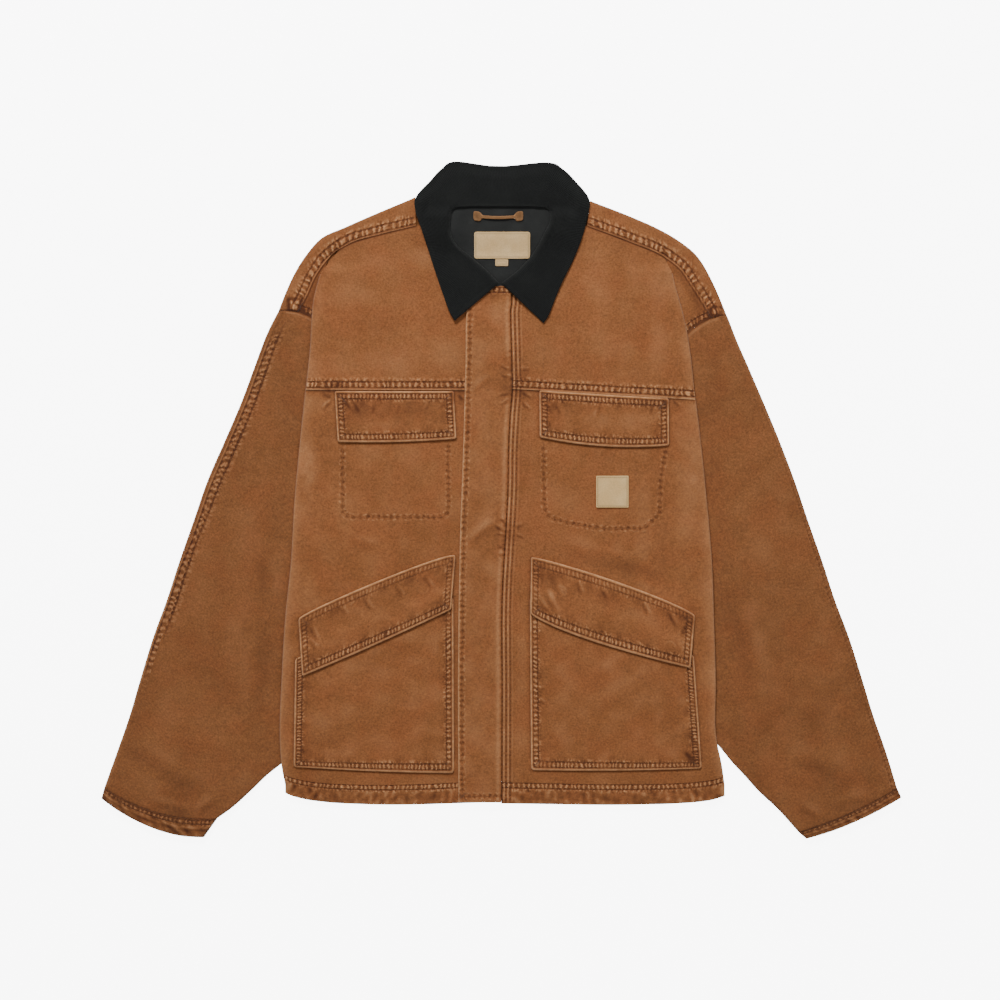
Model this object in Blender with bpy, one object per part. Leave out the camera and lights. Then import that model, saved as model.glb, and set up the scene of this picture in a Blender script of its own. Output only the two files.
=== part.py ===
"""A boxy cotton-duck chore jacket with a corduroy collar, buttoned up and laid flat on its back.

Everything is worked out in millimetres and turned into metres as each mesh is made. +Z is up from
the surface that the jacket lies on, +Y runs from the hem to the collar, and +X to the wearer's left.
The origin lies on that surface, under the middle of the whole garment. A place on the garment is
given as "out", its distance from the centre line, and "up", its distance along +Y.

From the bottom up the layers are: the back and the back halves of the sleeves, the front halves of
the sleeves, the turned-under sides of the fronts, the fronts, and the pockets, flaps, placket and
collar that lie on the fronts. Each layer is worked out from the one that carries it.
"""

import math

import bpy
import numpy as np

MM = 0.001

# The two sides of the wearer. Each is also its column in the tables of two sides.
RIGHT = 1
LEFT = 2
SIDES = ((RIGHT, "right", -1), (LEFT, "left", 1))

# Cloth and the room between layers.
CANVAS = 1.5
HEM_PLY = 2.1
POCKET_PLY = 1.6
FLAP_PLY = 2.4
PLACKET_PLY = 2.4
CORDUROY = 2.5
LINING_PLY = 1.0
LABEL_PLY = 1.0
SEAM = 0.3
CURVED_SEAM = 0.8
LAID = 0.45

# Heights of the laid-out layers.
FRONT_TOP = 6.9
FRONT_TOP_OVER_SLEEVE = 3.0
SLEEVE_TOP = 6.6
SLEEVE_PRESSED = 3.6
RETURN_LIFT = SLEEVE_PRESSED + SEAM
NECK_LIFT = 3.4
HEM_SAG = 1.3
UNDER_COLLAR_TOP = 3.0

# Side fold of the fronts, from the chest down: (up, out on the right, out on the left).
BODY_FOLD = (
    (283, 203, 196),
    (269, 207.5, 199),
    (255, 211.5, 201.5),
    (232, 217.5, 208),
    (209, 219.5, 214),
    (180, 221, 219.5),
    (127, 226.5, 225.5),
    (69, 232.5, 232.5),
    (0, 239, 239.5),
    (-70, 243, 245.5),
    (-139, 250, 248),
    (-209, 254, 250),
    (-279, 256, 251),
    (-308, 254, 257),
    (-331, 250, 260.5),
)

# Outer edge of the sleeves: (up, out on the right, out on the left).
SLEEVE_OUTER = (
    (217, 260, 263.5),
    (197, 269.5, 270),
    (151, 287, 289.5),
    (116, 300, 304.5),
    (69, 320, 324),
    (23, 340, 341.5),
    (-23, 356, 357),
    (-76, 374.5, 375.5),
    (-116, 387.5, 388.5),
    (-157, 402.5, 404),
    (-209, 418.5, 420.5),
    (-250, 430.5, 433),
    (-296, 446.5, 449),
    (-334, 460, 460.5),
)

# Inner edge of the sleeves, under the body down to its last fifth: (up, out right, out left).
SLEEVE_INNER = (
    (58, 163, 162),
    (-23, 167.5, 168),
    (-116, 177, 177),
    (-197, 188, 193),
    (-232, 200, 208),
    (-263, 216, 231),
    (-284, 232, 252),
    (-307, 255, 271),
    (-318, 269, 281.5),
    (-338, 290, 299.5),
    (-357, 311, 320),
)

# Where the sleeve's inner edge meets its cuff: (out, up).
CUFF_INNER_END = {RIGHT: (329, -370), LEFT: (346, -385.5)}

# Side seam, on the underside between the front's turned-under side and the back: (up, out, out).
SIDE_SEAM = (
    (40, 135, 134),
    (-23, 138, 139),
    (-116, 146, 146),
    (-197, 156, 160),
    (-279, 172, 175),
    (-353, 186, 188),
)

# Armhole: the shoulder point on the outer edge, a point that pulls the curve, and the underarm.
ARMHOLE = {
    RIGHT: ((258, 219), (178, 231), (163, 58)),
    LEFT: ((263, 214), (190, 212), (162, 58)),
}

# Shoulder strips from the neck to the armhole: silhouette (out, up), then front seam (out, up).
# The last rows of the seam columns run under the side fold of the front.
SHOULDER = {
    RIGHT: (
        (99, 351.5, 98, 318),
        (148, 331, 140, 308),
        (181, 316.5, 178, 296),
        (208, 304, 199, 281),
        (226, 284, 204, 266),
        (245.5, 250.5, 209, 243),
        (258, 219, 209, 214),
    ),
    LEFT: (
        (104, 347.5, 100.5, 318),
        (154, 328, 149, 300),
        (181, 316, 175, 289),
        (206.5, 301.5, 192, 279),
        (225, 287, 194, 263),
        (248, 250, 200, 236),
        (263, 214, 210, 193),
    ),
}
STRIP_DIVE = (0.40, 0.56)
STRIP_RETURN = 14

# Neckline of the top panels of the fronts, from the centre front to the shoulder: (out, up).
NECKLINE = {
    RIGHT: ((12, 232), (21, 250), (41, 263), (61, 276), (75, 296), (82, 318)),
    LEFT: ((13, 226), (16, 243), (31, 260), (49, 274), (67, 292), (78, 317)),
}

# Chest seam and hem: up at the centre front and up at the side fold.
CHEST_SEAM = {RIGHT: (127, 127), LEFT: (128.5, 116)}

# Lower edge of the fronts: (out, up on the right, up on the left).
HEM_LINE = (
    (0, -351, -352.5),
    (160, -352, -353),
    (205, -349, -351.5),
    (230, -345, -349.5),
    (246, -340, -347),
    (262, -330, -342),
)
HEM_HEIGHT = 25
BACK_HEM_UP = 2

# Placket: (up, free edge, sewn edge), both as signed distances from the centre line.
PLACKET = (
    (248, -26, 6),
    (240, -37, 11),
    (216, -39.5, 11.2),
    (162, -40.5, 12.6),
    (125, -41.5, 13),
    (97, -42.3, 10.8),
    (56, -43.5, 8.8),
    (14, -45, 8.2),
    (-24, -46.5, 6.4),
    (-60, -47.4, 4.2),
    (-104, -48.3, 1.8),
    (-224, -49.3, 1.4),
    (-350, -48.8, 1),
)
CENTRE_RIDGE = (13, 1.2)
RIGHT_FRONT_INNER = 12

# Quadrilaterals as (out, up): inner top, outer top, outer bottom, inner bottom.
HIP_POCKET = {
    RIGHT: ((54.5, -112), (237.8, -184), (239.6, -309.5), (53.8, -317)),
    LEFT: ((34, -112), (224, -180), (233.5, -311.5), (35.5, -313.5)),
}
HIP_FLAP = {
    RIGHT: ((52, -66), (234, -138), (229.5, -204), (57, -127)),
    LEFT: ((35.5, -66.5), (225.5, -135), (220, -194.5), (34.5, -131)),
}
CHEST_FLAP = {
    RIGHT: ((54, 126), (192, 126), (188.5, 67), (51, 70.8)),
    LEFT: ((45, 127), (195, 117.5), (195.5, 63), (45.5, 72.5)),
}

# How far the lower edge of each flap bows down, and how far along it the bow is deepest.
HIP_FLAP_SAG = {RIGHT: (1.5, 0.5), LEFT: (8.0, 0.35)}
CHEST_FLAP_SAG = {RIGHT: (1.9, 0.5), LEFT: (5.8, 0.5)}
HIP_POCKET_SAG = (1.5, 0.5)
# How far the upper edge of a hip flap bows up, and how the bow leans towards one end.
HIP_FLAP_RISE = {RIGHT: (7.8, 0.75), LEFT: (7.8, 1.3)}

CHEST_LABEL = ((111, 28), (148.5, 28), (148.5, -9), (111, -9))

# Collar, from the right front point round the neck: inner edge (x, y), then outer edge (x, y).
COLLAR = (
    (-1.6, 251, -53, 207.5),
    (-10, 260, -59, 218),
    (-19, 269, -66, 237),
    (-34, 282, -75, 263),
    (-49, 294, -84, 291),
    (-57, 307, -92, 315),
    (-58, 322, -98.5, 335),
    (-56, 334, -98, 351),
    (-50, 339, -82, 370),
    (-42, 339.5, -69, 384),
    (-32, 340, -52.5, 393),
    (0, 340, -3, 387.5),
    (32, 340, 54, 392),
    (42, 339.5, 73, 384),
    (50, 339, 89, 368),
    (57, 334, 103, 348.5),
    (57, 322, 101, 328),
    (51, 310, 94, 302),
    (44, 296, 84, 277),
    (34, 281, 72, 253),
    (20, 266, 63, 232),
    (10, 258, 56, 214),
    (0.6, 251, 50, 205),
)
COLLAR_BACK_ROWS = (7, 15)
COLLAR_SPLIT = (2, 3, 6, 7, 10, 11, 14, 15, 18, 19)

# Hidden back leaf of the collar: (x, lower edge y, upper edge y).
UNDER_COLLAR = (
    (-76, 352, 372),
    (-66, 338, 384),
    (-50, 327, 390.5),
    (-25, 322, 388.5),
    (0, 321, 386),
    (25, 322, 388),
    (50, 327, 389.5),
    (66, 338, 382.5),
    (78, 351, 369),
)

# Lining at the back of the neck: (up, half width).
NECK_LINING = ((343, 61), (334, 66), (320, 68), (302, 66), (282, 45), (264, 31), (246, 16))

NECK_LABEL = ((-30.5, 311), (34.5, 280))
SIZE_TAB = ((-6, 279.4), (9, 271.5))
LOOP_SPAN = (-31.5, 26.5)
LOOP_UP = 329.5
LOOP_WIDTH = 5
LOOP_END = (9, 13)

# Soft folds: from (x, y) to (x, y), how wide, and how high.
SOFT_FOLDS = (
    (-262, 190, -196, -40, 14, 0.8),
    (-335, -40, -300, -240, 16, 0.9),
    (-400, -170, -330, -260, 13, 0.7),
    (265, 185, 330, 10, 14, 0.8),
    (320, -30, 300, -230, 16, 0.9),
    (405, -180, 340, -270, 13, 0.7),
    (-130, 215, -60, 150, 20, 0.5),
    (120, 240, 70, 160, 20, 0.5),
)

SLOTS = {
    "canvas_body": ((0.31, 0.117, 0.042, 1), 0.9),
    "canvas_sleeve": ((0.205, 0.078, 0.028, 1), 0.9),
    "corduroy": ((0.014, 0.015, 0.014, 1), 0.95),
    "lining": ((0.022, 0.022, 0.022, 1), 0.85),
    "label": ((0.61, 0.46, 0.26, 1), 0.8),
    "loop": ((0.24, 0.11, 0.045, 1), 0.85),
}


# ---------------------------------------------------------------- numbers and lines


def ramp(value, start, end):
    """0 before start, 1 past end, and a smooth rise between them."""
    t = min(max((value - start) / (end - start), 0.0), 1.0)
    return t * t * (3 - 2 * t)


def mix(a, b, t):
    return a + (b - a) * t


def reading(table, key, column):
    """A column of a table at a value of its first column, on a smooth line through the rows."""
    rows = sorted(table)
    keys = np.array([row[0] for row in rows], float)
    values = np.array([row[column] for row in rows], float)
    slopes = np.gradient(values, keys)
    key = min(max(key, keys[0]), keys[-1])
    i = min(max(int(np.searchsorted(keys, key)) - 1, 0), len(keys) - 2)
    step = keys[i + 1] - keys[i]
    t = (key - keys[i]) / step
    near = (1 + 2 * t) * (1 - t) ** 2 * values[i] + t * (1 - t) ** 2 * step * slopes[i]
    far = t * t * (3 - 2 * t) * values[i + 1] + t * t * (t - 1) * step * slopes[i + 1]
    return near + far


def line_through(points, count=120):
    """Points close together on a smooth line through a few given ones."""
    points = np.array(points, float)
    keys = np.concatenate([[0], np.cumsum(np.linalg.norm(np.diff(points, axis=0), axis=1))])
    tables = [list(zip(keys, points[:, k])) for k in range(points.shape[1])]
    return np.array([[reading(t, s, 1) for t in tables] for s in np.linspace(0, keys[-1], count)])


class Path:
    """A line across the garment, read by the distance along it and straight on past its ends."""

    def __init__(self, points):
        self.points = np.array(points, float)
        steps = np.linalg.norm(np.diff(self.points, axis=0), axis=1)
        self.marks = np.concatenate([[0], np.cumsum(steps)])
        self.length = self.marks[-1]

    def at(self, along):
        if along < 0:
            away = self.points[0] - self.points[1]
            return self.points[0] - away / np.linalg.norm(away) * along
        if along > self.length:
            away = self.points[-1] - self.points[-2]
            return self.points[-1] + away / np.linalg.norm(away) * (along - self.length)
        return np.array([np.interp(along, self.marks, self.points[:, k]) for k in range(2)])

    def share(self, t):
        return self.at(t * self.length)


def bend(start, pull, end, count=40):
    """A quadratic curve from start to end, pulled towards a third point."""
    start, pull, end = (np.array(p, float) for p in (start, pull, end))
    return [(1 - t) ** 2 * start + 2 * t * (1 - t) * pull + t * t * end for t in np.linspace(0, 1, count)]


def edge_path(table, side, end=()):
    """The smooth line down a table of heights and two sides, and on to any places given after it."""
    return Path(line_through([(row[side], row[0]) for row in table] + list(end)))


def sleeve_inner(side):
    return edge_path(SLEEVE_INNER, side, [CUFF_INNER_END[side]])


# ---------------------------------------------------------------- where things lie


ARM = {side: Path(bend(*ARMHOLE[side])) for side, _, _ in SIDES}


def tuck_points(side):
    """Inner limit of the sleeve under the body: the hidden armhole, then the sleeve's inner edge."""
    arm = [ARM[side].share(t) for t in np.linspace(0.25, 1, 16)]
    inner = sleeve_inner(side)
    return np.array(arm + [inner.share(t) for t in np.linspace(0.02, 1, 40)])


TUCK = {side: tuck_points(side) for side, _, _ in SIDES}


def tuck_line(up, side):
    points = TUCK[side][::-1]
    return float(np.interp(up, points[:, 1], points[:, 0]))


def fold_line(up, side):
    return reading(BODY_FOLD, up, side)


def hem_line(out, side):
    return reading(HEM_LINE, out, side)


def side_of(x):
    return RIGHT if x < 0 else LEFT


def over_sleeve(x, y, soft, spare=0):
    """1 over what is tucked under the side of a front, fading to 0 across a width of soft."""
    side, out = side_of(x), abs(x)
    armhole_top = TUCK[side][0][1]
    line = tuck_line(y, side) - spare
    sleeve = ramp(out, line - soft, line) if y < armhole_top + 4 else 0.0
    fold = fold_line(y, side)
    strip = ramp(out, fold - 10 - soft, fold - 10) * ramp(y, 276, 262) if y > armhole_top - 20 else 0.0
    return max(sleeve, strip)


def neck_lift(x, y):
    """Rise of the upper back over the collar's hidden back leaf."""
    return NECK_LIFT * ramp(abs(x), 112, 88) * ramp(y, 284, 312)


def soft_folds(x, y):
    """Height that the soft folds add at a point."""
    height = 0.0
    for x0, y0, x1, y1, wide, high in SOFT_FOLDS:
        run = np.array([x1 - x0, y1 - y0], float)
        t = ((x - x0) * run[0] + (y - y0) * run[1]) / run.dot(run)
        near = min(max(t, 0.0), 1.0)
        off = math.hypot(x - x0 - near * run[0], y - y0 - near * run[1])
        height += high * math.exp(-((off / wide) ** 2)) * ramp(t, -0.15, 0.3) * ramp(t, 1.15, 0.7)
    return height


def centre_ridge(x, y):
    """Raised felled seam beside the placket, on the outer side of the left front."""
    wide, high = CENTRE_RIDGE
    edge = reading(PLACKET, y, 2)
    return high * ramp(x, edge + wide + 3, edge + wide) if x > 0 else 0.0


def front_height(x, y):
    """Top of the fronts."""
    side, out = side_of(x), abs(x)
    rise = FRONT_TOP_OVER_SLEEVE * over_sleeve(x, y, 55)
    sag = HEM_SAG * ramp(y, hem_line(out, side) + 45, hem_line(out, side))
    return FRONT_TOP + rise + neck_lift(x, y) - sag + soft_folds(x, y)


def return_height(x, y):
    """Underside of the turned-under sides of the fronts."""
    spare = 6 + 8 * ramp(y, -240, -290)
    return RETURN_LIFT * over_sleeve(x, y, 18, spare) + neck_lift(x, y)


def sleeve_height(x, y):
    """Top of the sleeves, pressed flat where the body lies on them."""
    side = side_of(x)
    clear = abs(x) - fold_line(y, side)
    return mix(SLEEVE_PRESSED, SLEEVE_TOP, ramp(clear, 10, 56)) + soft_folds(x, y) * ramp(clear, 10, 56)


# ---------------------------------------------------------------- making solids


def material(slot):
    made = bpy.data.materials.get(slot)
    if made is None:
        made = bpy.data.materials.new(slot)
        made.use_nodes = True
        colour, rough = SLOTS[slot]
        shader = made.node_tree.nodes["Principled BSDF"]
        shader.inputs["Base Color"].default_value = colour
        shader.inputs["Roughness"].default_value = rough
        shader.inputs["Metallic"].default_value = 0.0
        made.diffuse_color = colour
    return made


def solid(name, points, faces, slot):
    """A closed mesh object with its faces pointing out."""
    used = sorted({i for face in faces for i in face})
    place = {old: new for new, old in enumerate(used)}
    points = np.array([points[i] for i in used])
    faces = np.array([[place[i] for i in face] for face in faces])
    corners = points[faces]
    volume = np.einsum("ij,ij->i", corners[:, 0], np.cross(corners[:, 1], corners[:, 2])).sum()
    if volume < 0:
        faces = faces[:, ::-1]
    mesh = bpy.data.meshes.new(name)
    mesh.from_pydata((points * MM).tolist(), [], faces.tolist())
    mesh.materials.append(material(slot))
    mesh.shade_smooth()
    mesh.set_sharp_from_angle(angle=math.radians(40))
    thing = bpy.data.objects.new(name, mesh)
    bpy.context.scene.collection.objects.link(thing)
    return thing


def wall(name, outer, inner, slot, keep=None, ring=False):
    """Closed cloth wall between two grids of points, over the cells that keep lets through."""
    rows, columns = len(outer), len(outer[0])
    points = [p for row in outer for p in row] + [p for row in inner for p in row]
    faces, edges = [], set()

    def number(corner, face):
        return face * rows * columns + corner[0] * columns + corner[1]

    for i in range(rows - 1):
        for j in range(columns if ring else columns - 1):
            if keep is not None and not keep(i, j):
                continue
            k = (j + 1) % columns
            a, b, c, d = (i, j), (i, k), (i + 1, k), (i + 1, j)
            for corners in ((a, b, c), (a, c, d)):
                faces.append([number(p, 0) for p in corners])
                faces.append([number(p, 1) for p in reversed(corners)])
                edges.update(zip(corners, corners[1:] + corners[:1]))
    for p, q in edges:
        if (q, p) not in edges:
            faces.append([number(q, 0), number(p, 0), number(p, 1)])
            faces.append([number(q, 0), number(p, 1), number(q, 1)])
    return solid(name, points, faces, slot)


class Surface:
    """The faceted top of a panel, read by a point on it."""

    def __init__(self, rows):
        rows = np.array(rows)
        a, b = rows[:-1, :-1].reshape(-1, 3), rows[:-1, 1:].reshape(-1, 3)
        c, d = rows[1:, 1:].reshape(-1, 3), rows[1:, :-1].reshape(-1, 3)
        self.corners = np.concatenate([np.stack([a, b, c], 1), np.stack([a, c, d], 1)])

    def height(self, x, y, otherwise):
        p, q, r = self.corners[:, 0], self.corners[:, 1], self.corners[:, 2]
        area = (q[:, 0] - p[:, 0]) * (r[:, 1] - p[:, 1]) - (r[:, 0] - p[:, 0]) * (q[:, 1] - p[:, 1])
        area = np.where(np.abs(area) < 1e-9, 1e-9, area)
        v = ((x - p[:, 0]) * (r[:, 1] - p[:, 1]) - (r[:, 0] - p[:, 0]) * (y - p[:, 1])) / area
        w = ((q[:, 0] - p[:, 0]) * (y - p[:, 1]) - (x - p[:, 0]) * (q[:, 1] - p[:, 1])) / area
        inside = np.minimum(np.minimum(v, w), 1 - v - w)
        best = int(np.argmax(inside))
        if inside[best] < -1e-6:
            return otherwise
        return float(p[best, 2] + v[best] * (q[best, 2] - p[best, 2]) + w[best] * (r[best, 2] - p[best, 2]))


def profile_row(path, profile):
    """Outer and inner points of a row, from (along, height, lean, thickness) along its path.

    lean is the direction that the cloth faces, in degrees from straight up towards the path's end.
    """
    outer, inner = [], []
    for along, height, lean, thick in profile:
        x, y = path.at(along)
        outer.append((x, y, height))
        back = path.at(along - thick * math.sin(math.radians(lean)))
        inner.append((back[0], back[1], height - thick * math.cos(math.radians(lean))))
    return outer, inner


def turn(centre, middle, radius, start, end, steps, thick):
    """Profile points round a fold, from one lean to another."""
    out = []
    for lean in np.linspace(start, end, steps + 1):
        angle = math.radians(lean)
        out.append((centre + radius * math.sin(angle), middle + radius * math.cos(angle), lean, thick))
    return out


def signed(points, side):
    """Places given outwards from the centre line, on their own side of it."""
    flip = -1 if side == RIGHT else 1
    return [(flip * x, y) for x, y in points]


# ---------------------------------------------------------------- sleeves and cuffs


SLEEVE_ROWS = 14
FELLED_SEAM = 10
UNDER_TURN = 8
CUFF_ROWS = 2
CUFF_HEIGHT = {RIGHT: (13, 25), LEFT: (12.5, 11)}
CUFF_CORNER = {RIGHT: 9, LEFT: 5}
CUFF_BULGE = {RIGHT: 23, LEFT: 9}
ARMHOLE_GAP = 0.8


def sleeve_path(side, t):
    """The line across a sleeve from its outer to its inner edge, t of the way down to the cuff."""
    outer, inner = edge_path(SLEEVE_OUTER, side).share(t), sleeve_inner(side).share(t)
    shoulder, pull, underarm = (np.array(p, float) for p in ARMHOLE[side])
    outer = mix(shoulder, outer, ramp(t, 0, 0.05))
    middle = (outer + inner) / 2
    across = (inner - outer) / np.linalg.norm(inner - outer)
    down = np.array([-across[1], across[0]])
    armhole_bow = (pull - (shoulder + underarm) / 2) * (1 - ramp(t, 0, 0.45))
    pulled = middle + armhole_bow + down * CUFF_BULGE[side] * ramp(t, 0.55, 1)
    shift = np.array([0, -ARMHOLE_GAP]) * (1 - ramp(t, 0, 0.1))
    return Path(signed([p + shift for p in bend(outer, pulled, inner)], side))


def cuff_path(side, t):
    """The line across a cuff, t of the way from its seam to its edge."""
    start = sleeve_path(side, 1)
    outer, inner = start.share(0), start.share(1)
    across = (inner - outer) / np.linalg.norm(inner - outer)
    down = np.array([-across[1], across[0]])
    down = down if down[1] < 0 else -down
    drop = [mix(SEAM, high, t) for high in CUFF_HEIGHT[side]]
    points = []
    for k, point in enumerate(start.points):
        share = k / (len(start.points) - 1)
        point = point + down * mix(drop[0], drop[1], share)
        points.append(point - across * CUFF_CORNER[side] * t * ramp(share, 0.6, 1))
    return Path(points)


def tube_heights(path):
    """Height of the sleeve at its outer edge and at its inner edge."""
    return sleeve_height(*path.at(0)), sleeve_height(*path.share(1))


def sleeve_front_profile(path):
    inner_high = tube_heights(path)[1]
    radius = inner_high / 2
    end = path.length - radius
    spots = np.linspace(FELLED_SEAM, end, 11)[:-1]
    flat = [(a, mix(sleeve_height(*path.at(a)), inner_high, ramp(a, end - 12, end)), 0, CANVAS) for a in spots]
    fold = turn(end, radius, radius, 0, 180, 5, CANVAS)
    return flat + fold + [(end - UNDER_TURN, 0, 180, CANVAS)]


def sleeve_back_profile(path):
    outer_high, inner_high = tube_heights(path)
    radius = outer_high / 2
    floor_end = path.length - inner_high / 2 - UNDER_TURN - SEAM
    floor = [(a, 0, 180, CANVAS) for a in np.linspace(floor_end, radius, 6)[:-1]]
    fold = turn(radius, radius, radius, 180, 360, 6, CANVAS)
    rim = FELLED_SEAM - SEAM
    return floor + fold + [(rim, sleeve_height(*path.at(rim)), 360, CANVAS)]


def cuff_profile(path):
    """All round a cuff: the front, the inner fold, the floor side and the outer fold."""
    outer_high, inner_high = tube_heights(path)
    left, right = outer_high / 2, path.length - inner_high / 2
    front = [(a, sleeve_height(*path.at(a)), 0, HEM_PLY) for a in np.linspace(left, right, 9)[1:-1]]
    inner_fold = turn(right, inner_high / 2, inner_high / 2, 0, 180, 5, HEM_PLY)
    floor = [(a, 0, 180, HEM_PLY) for a in np.linspace(right, left, 7)[1:-1]]
    outer_fold = turn(left, outer_high / 2, outer_high / 2, 180, 360, 6, HEM_PLY)
    return front + inner_fold + floor + outer_fold


def rows_from(paths, profile):
    pairs = [profile_row(path, profile(path)) for path in paths]
    return [outer for outer, _ in pairs], [inner for _, inner in pairs]


def sleeve(side, label):
    shares = [0, 0.03, 0.07] + list(np.linspace(0.13, 1, SLEEVE_ROWS - 3))
    paths = [sleeve_path(side, t) for t in shares]
    wall(f"sleeve_front_{label}", *rows_from(paths, sleeve_front_profile), "canvas_sleeve")
    wall(f"sleeve_back_{label}", *rows_from(paths, sleeve_back_profile), "canvas_sleeve")
    paths = [cuff_path(side, t) for t in np.linspace(0, 1, CUFF_ROWS + 1)]
    wall(f"cuff_{label}", *rows_from(paths, cuff_profile), "canvas_sleeve", ring=True)


# ---------------------------------------------------------------- shoulders and back


STRIP_SHARES = (0, 0.14, 0.3, 0.42, 0.52, 0.6, 0.7, 0.82, 0.92, 1)


def strip_path(side, t):
    """The line across a shoulder strip from its silhouette to its front seam."""
    table = SHOULDER[side]
    silhouette = Path(line_through([row[:2] for row in table])).share(t)
    seam = Path(line_through([row[2:] for row in table])).share(t)
    line = [mix(silhouette, seam, s) for s in np.linspace(0, 1, 12)]
    last = np.linalg.norm(np.array(table[-1][2:]) - np.array(table[-1][:2]))
    curved = [ARM[side].at(last * s) for s in np.linspace(0, 1, 12)]
    fade = ramp(t, 0.8, 1)
    return Path(signed([mix(p, q, fade) for p, q in zip(line, curved)], side))


def strip_profile(path, t):
    """From the front seam over the silhouette and under to the back."""
    edge_x, edge_y = path.share(1)
    flush = front_height(edge_x, edge_y)
    seam_high = mix(flush, SLEEVE_PRESSED, ramp(t, *STRIP_DIVE))
    outer_high = SLEEVE_TOP + neck_lift(*path.at(0))
    low = neck_lift(*path.at(0))
    radius = (outer_high - low) / 2
    ending = ramp(t, 0.8, 1)
    flat = []
    for a in np.linspace(path.length, radius, 6)[:-1]:
        share = (a - radius) / (path.length - radius)
        plain = mix(outer_high, seam_high, ramp(share, 0, 1))
        flat.append((a, mix(plain, sleeve_height(*path.at(a)), ending), 0, CANVAS))
    fold = turn(radius, low + radius, radius, 360, 180, 6, CANVAS)
    end = (STRIP_RETURN, neck_lift(*path.at(STRIP_RETURN)), 180, CANVAS)
    return flat + fold + [end]


def shoulder_strip(side, label):
    pairs = [profile_row(path, strip_profile(path, t)) for t in STRIP_SHARES for path in [strip_path(side, t)]]
    wall(f"yoke_{label}", [p[0] for p in pairs], [p[1] for p in pairs], "canvas_body")


def side_seam(up, side):
    """Side seam below the underarm, and the hidden armhole above it."""
    return mix(reading(SIDE_SEAM, up, side), tuck_line(up, side), ramp(up, *UNDERARM))


def back_edge(side):
    """Edge of the back from the hem up its side seam, armhole and shoulder to the neck."""
    low = hem_line(180, side) + HEM_HEIGHT
    seam = [(side_seam(up, side) - CURVED_SEAM, up) for up in np.linspace(low, 36, 7)]
    seam += [(side_seam(up - 10, side) - CURVED_SEAM, up) for up in (48, 56, 64, 72)]
    arm = [ARM[side].at(a) for a in np.linspace(ARM[side].length - 28, STRIP_RETURN, 7)[:-1]]
    arm = [(x - 0.5, y) for x, y in arm]
    shoulder = []
    for t in STRIP_SHARES[::-1]:
        x, y = strip_path(side, t).at(STRIP_RETURN + SEAM + 0.1)
        shoulder.append((abs(x), y))
    return signed(seam + arm + shoulder, side)


BACK_COLUMNS = (0, 0.06, 0.14, 0.27, 0.4, 0.5, 0.6, 0.73, 0.86, 0.94, 1)


def back():
    """The back panel, flat on the surface but for its rise over the collar's hidden leaf."""
    outer, inner = [], []
    for right, left in zip(back_edge(RIGHT), back_edge(LEFT)):
        places = [mix(np.array(right), np.array(left), s) for s in BACK_COLUMNS]
        inner.append([(x, y, neck_lift(x, y)) for x, y in places])
        outer.append([(x, y, neck_lift(x, y) + CANVAS) for x, y in places])
    wall("back", outer, inner, "canvas_body")
    return Surface(outer)


def back_hem():
    outer, inner = [], []
    for t in (0, 1):
        row = []
        for s in np.linspace(0, 1, 9):
            ends = []
            for side, _, flip in SIDES:
                low = hem_line(180, side)
                up = mix(low + HEM_HEIGHT - SEAM, low + BACK_HEM_UP, t)
                ends.append(np.array([flip * (side_seam(up, side) - CURVED_SEAM), up]))
            row.append(mix(ends[0], ends[1], s))
        outer.append([(x, y, HEM_PLY) for x, y in row])
        inner.append([(x, y, 0) for x, y in row])
    wall("hem_back", outer, inner, "canvas_body")


# ---------------------------------------------------------------- fronts


FRONT_COLUMNS = 11
FRONT_SHARES = (0, 0.06, 0.113, 0.139, 0.161, 0.188, 0.258, 0.358, 0.457, 0.556, 0.656, 0.744, 0.821, 0.887,
                0.932, 0.96, 0.98, 1)
FOLD_STEPS = 5
SLEEVE_SIDE = ((0.5, 3), (1, -6), (1, -15), (1, -25))
UNDERARM = (40, 60)
RIM_STEP = 0.6


def front_profile(path, thick, ridge_on_top):
    """From the centre front over the panel, round the side fold and under to the side seam."""
    edge_x, edge_y = path.share(1)
    side = side_of(edge_x)
    low, high = return_height(edge_x, edge_y), front_height(edge_x, edge_y)
    radius = (high - low) / 2
    end = path.length - radius
    flat = []
    for a in np.linspace(0, end, FRONT_COLUMNS)[:-1]:
        x, y = path.at(a)
        top = mix(front_height(x, y), high, ramp(a, end - 12, end))
        raised = centre_ridge(x, y) if ridge_on_top else 0.0
        flat.append((a, top + raised, 0, thick + raised))
    fold = turn(end, low + radius, radius, 0, 180, FOLD_STEPS, thick)
    back_run = []
    for a in return_stops(path, end, side):
        x, y = path.at(a)
        back_run.append((a, mix(low, return_height(x, y), ramp(a, end, end - 6)), 180, thick))
    return flat + fold + back_run


def return_stops(path, end, side):
    """Distances along a row at which the turned-under side bends, from the fold to its seam."""
    edge_x, up = path.share(1)
    past = abs(edge_x) - path.length
    seam = side_seam(up, side) - past
    for _ in range(4):
        seam = min(side_seam(path.at(seam)[1], side) - past, end - 5)
    tuck = tuck_line(path.at(seam)[1], side) - past
    even, bent, count = [], [], len(SLEEVE_SIDE)
    for k, (share, shift) in enumerate(SLEEVE_SIDE):
        even.append(seam + (count - k) * RIM_STEP if k else mix(end, seam, 0.5))
        bent.append(mix(end, tuck + shift, share))
    stops = [mix(low, high, ramp(up, *UNDERARM)) for low, high in zip(bent, even)] + [seam]
    least = RIM_STEP * 0.8
    for k in range(count):
        before = stops[k - 1] if k else end
        stops[k] = max(min(stops[k], before - least), seam + (count - k) * least)
    return stops


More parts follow.
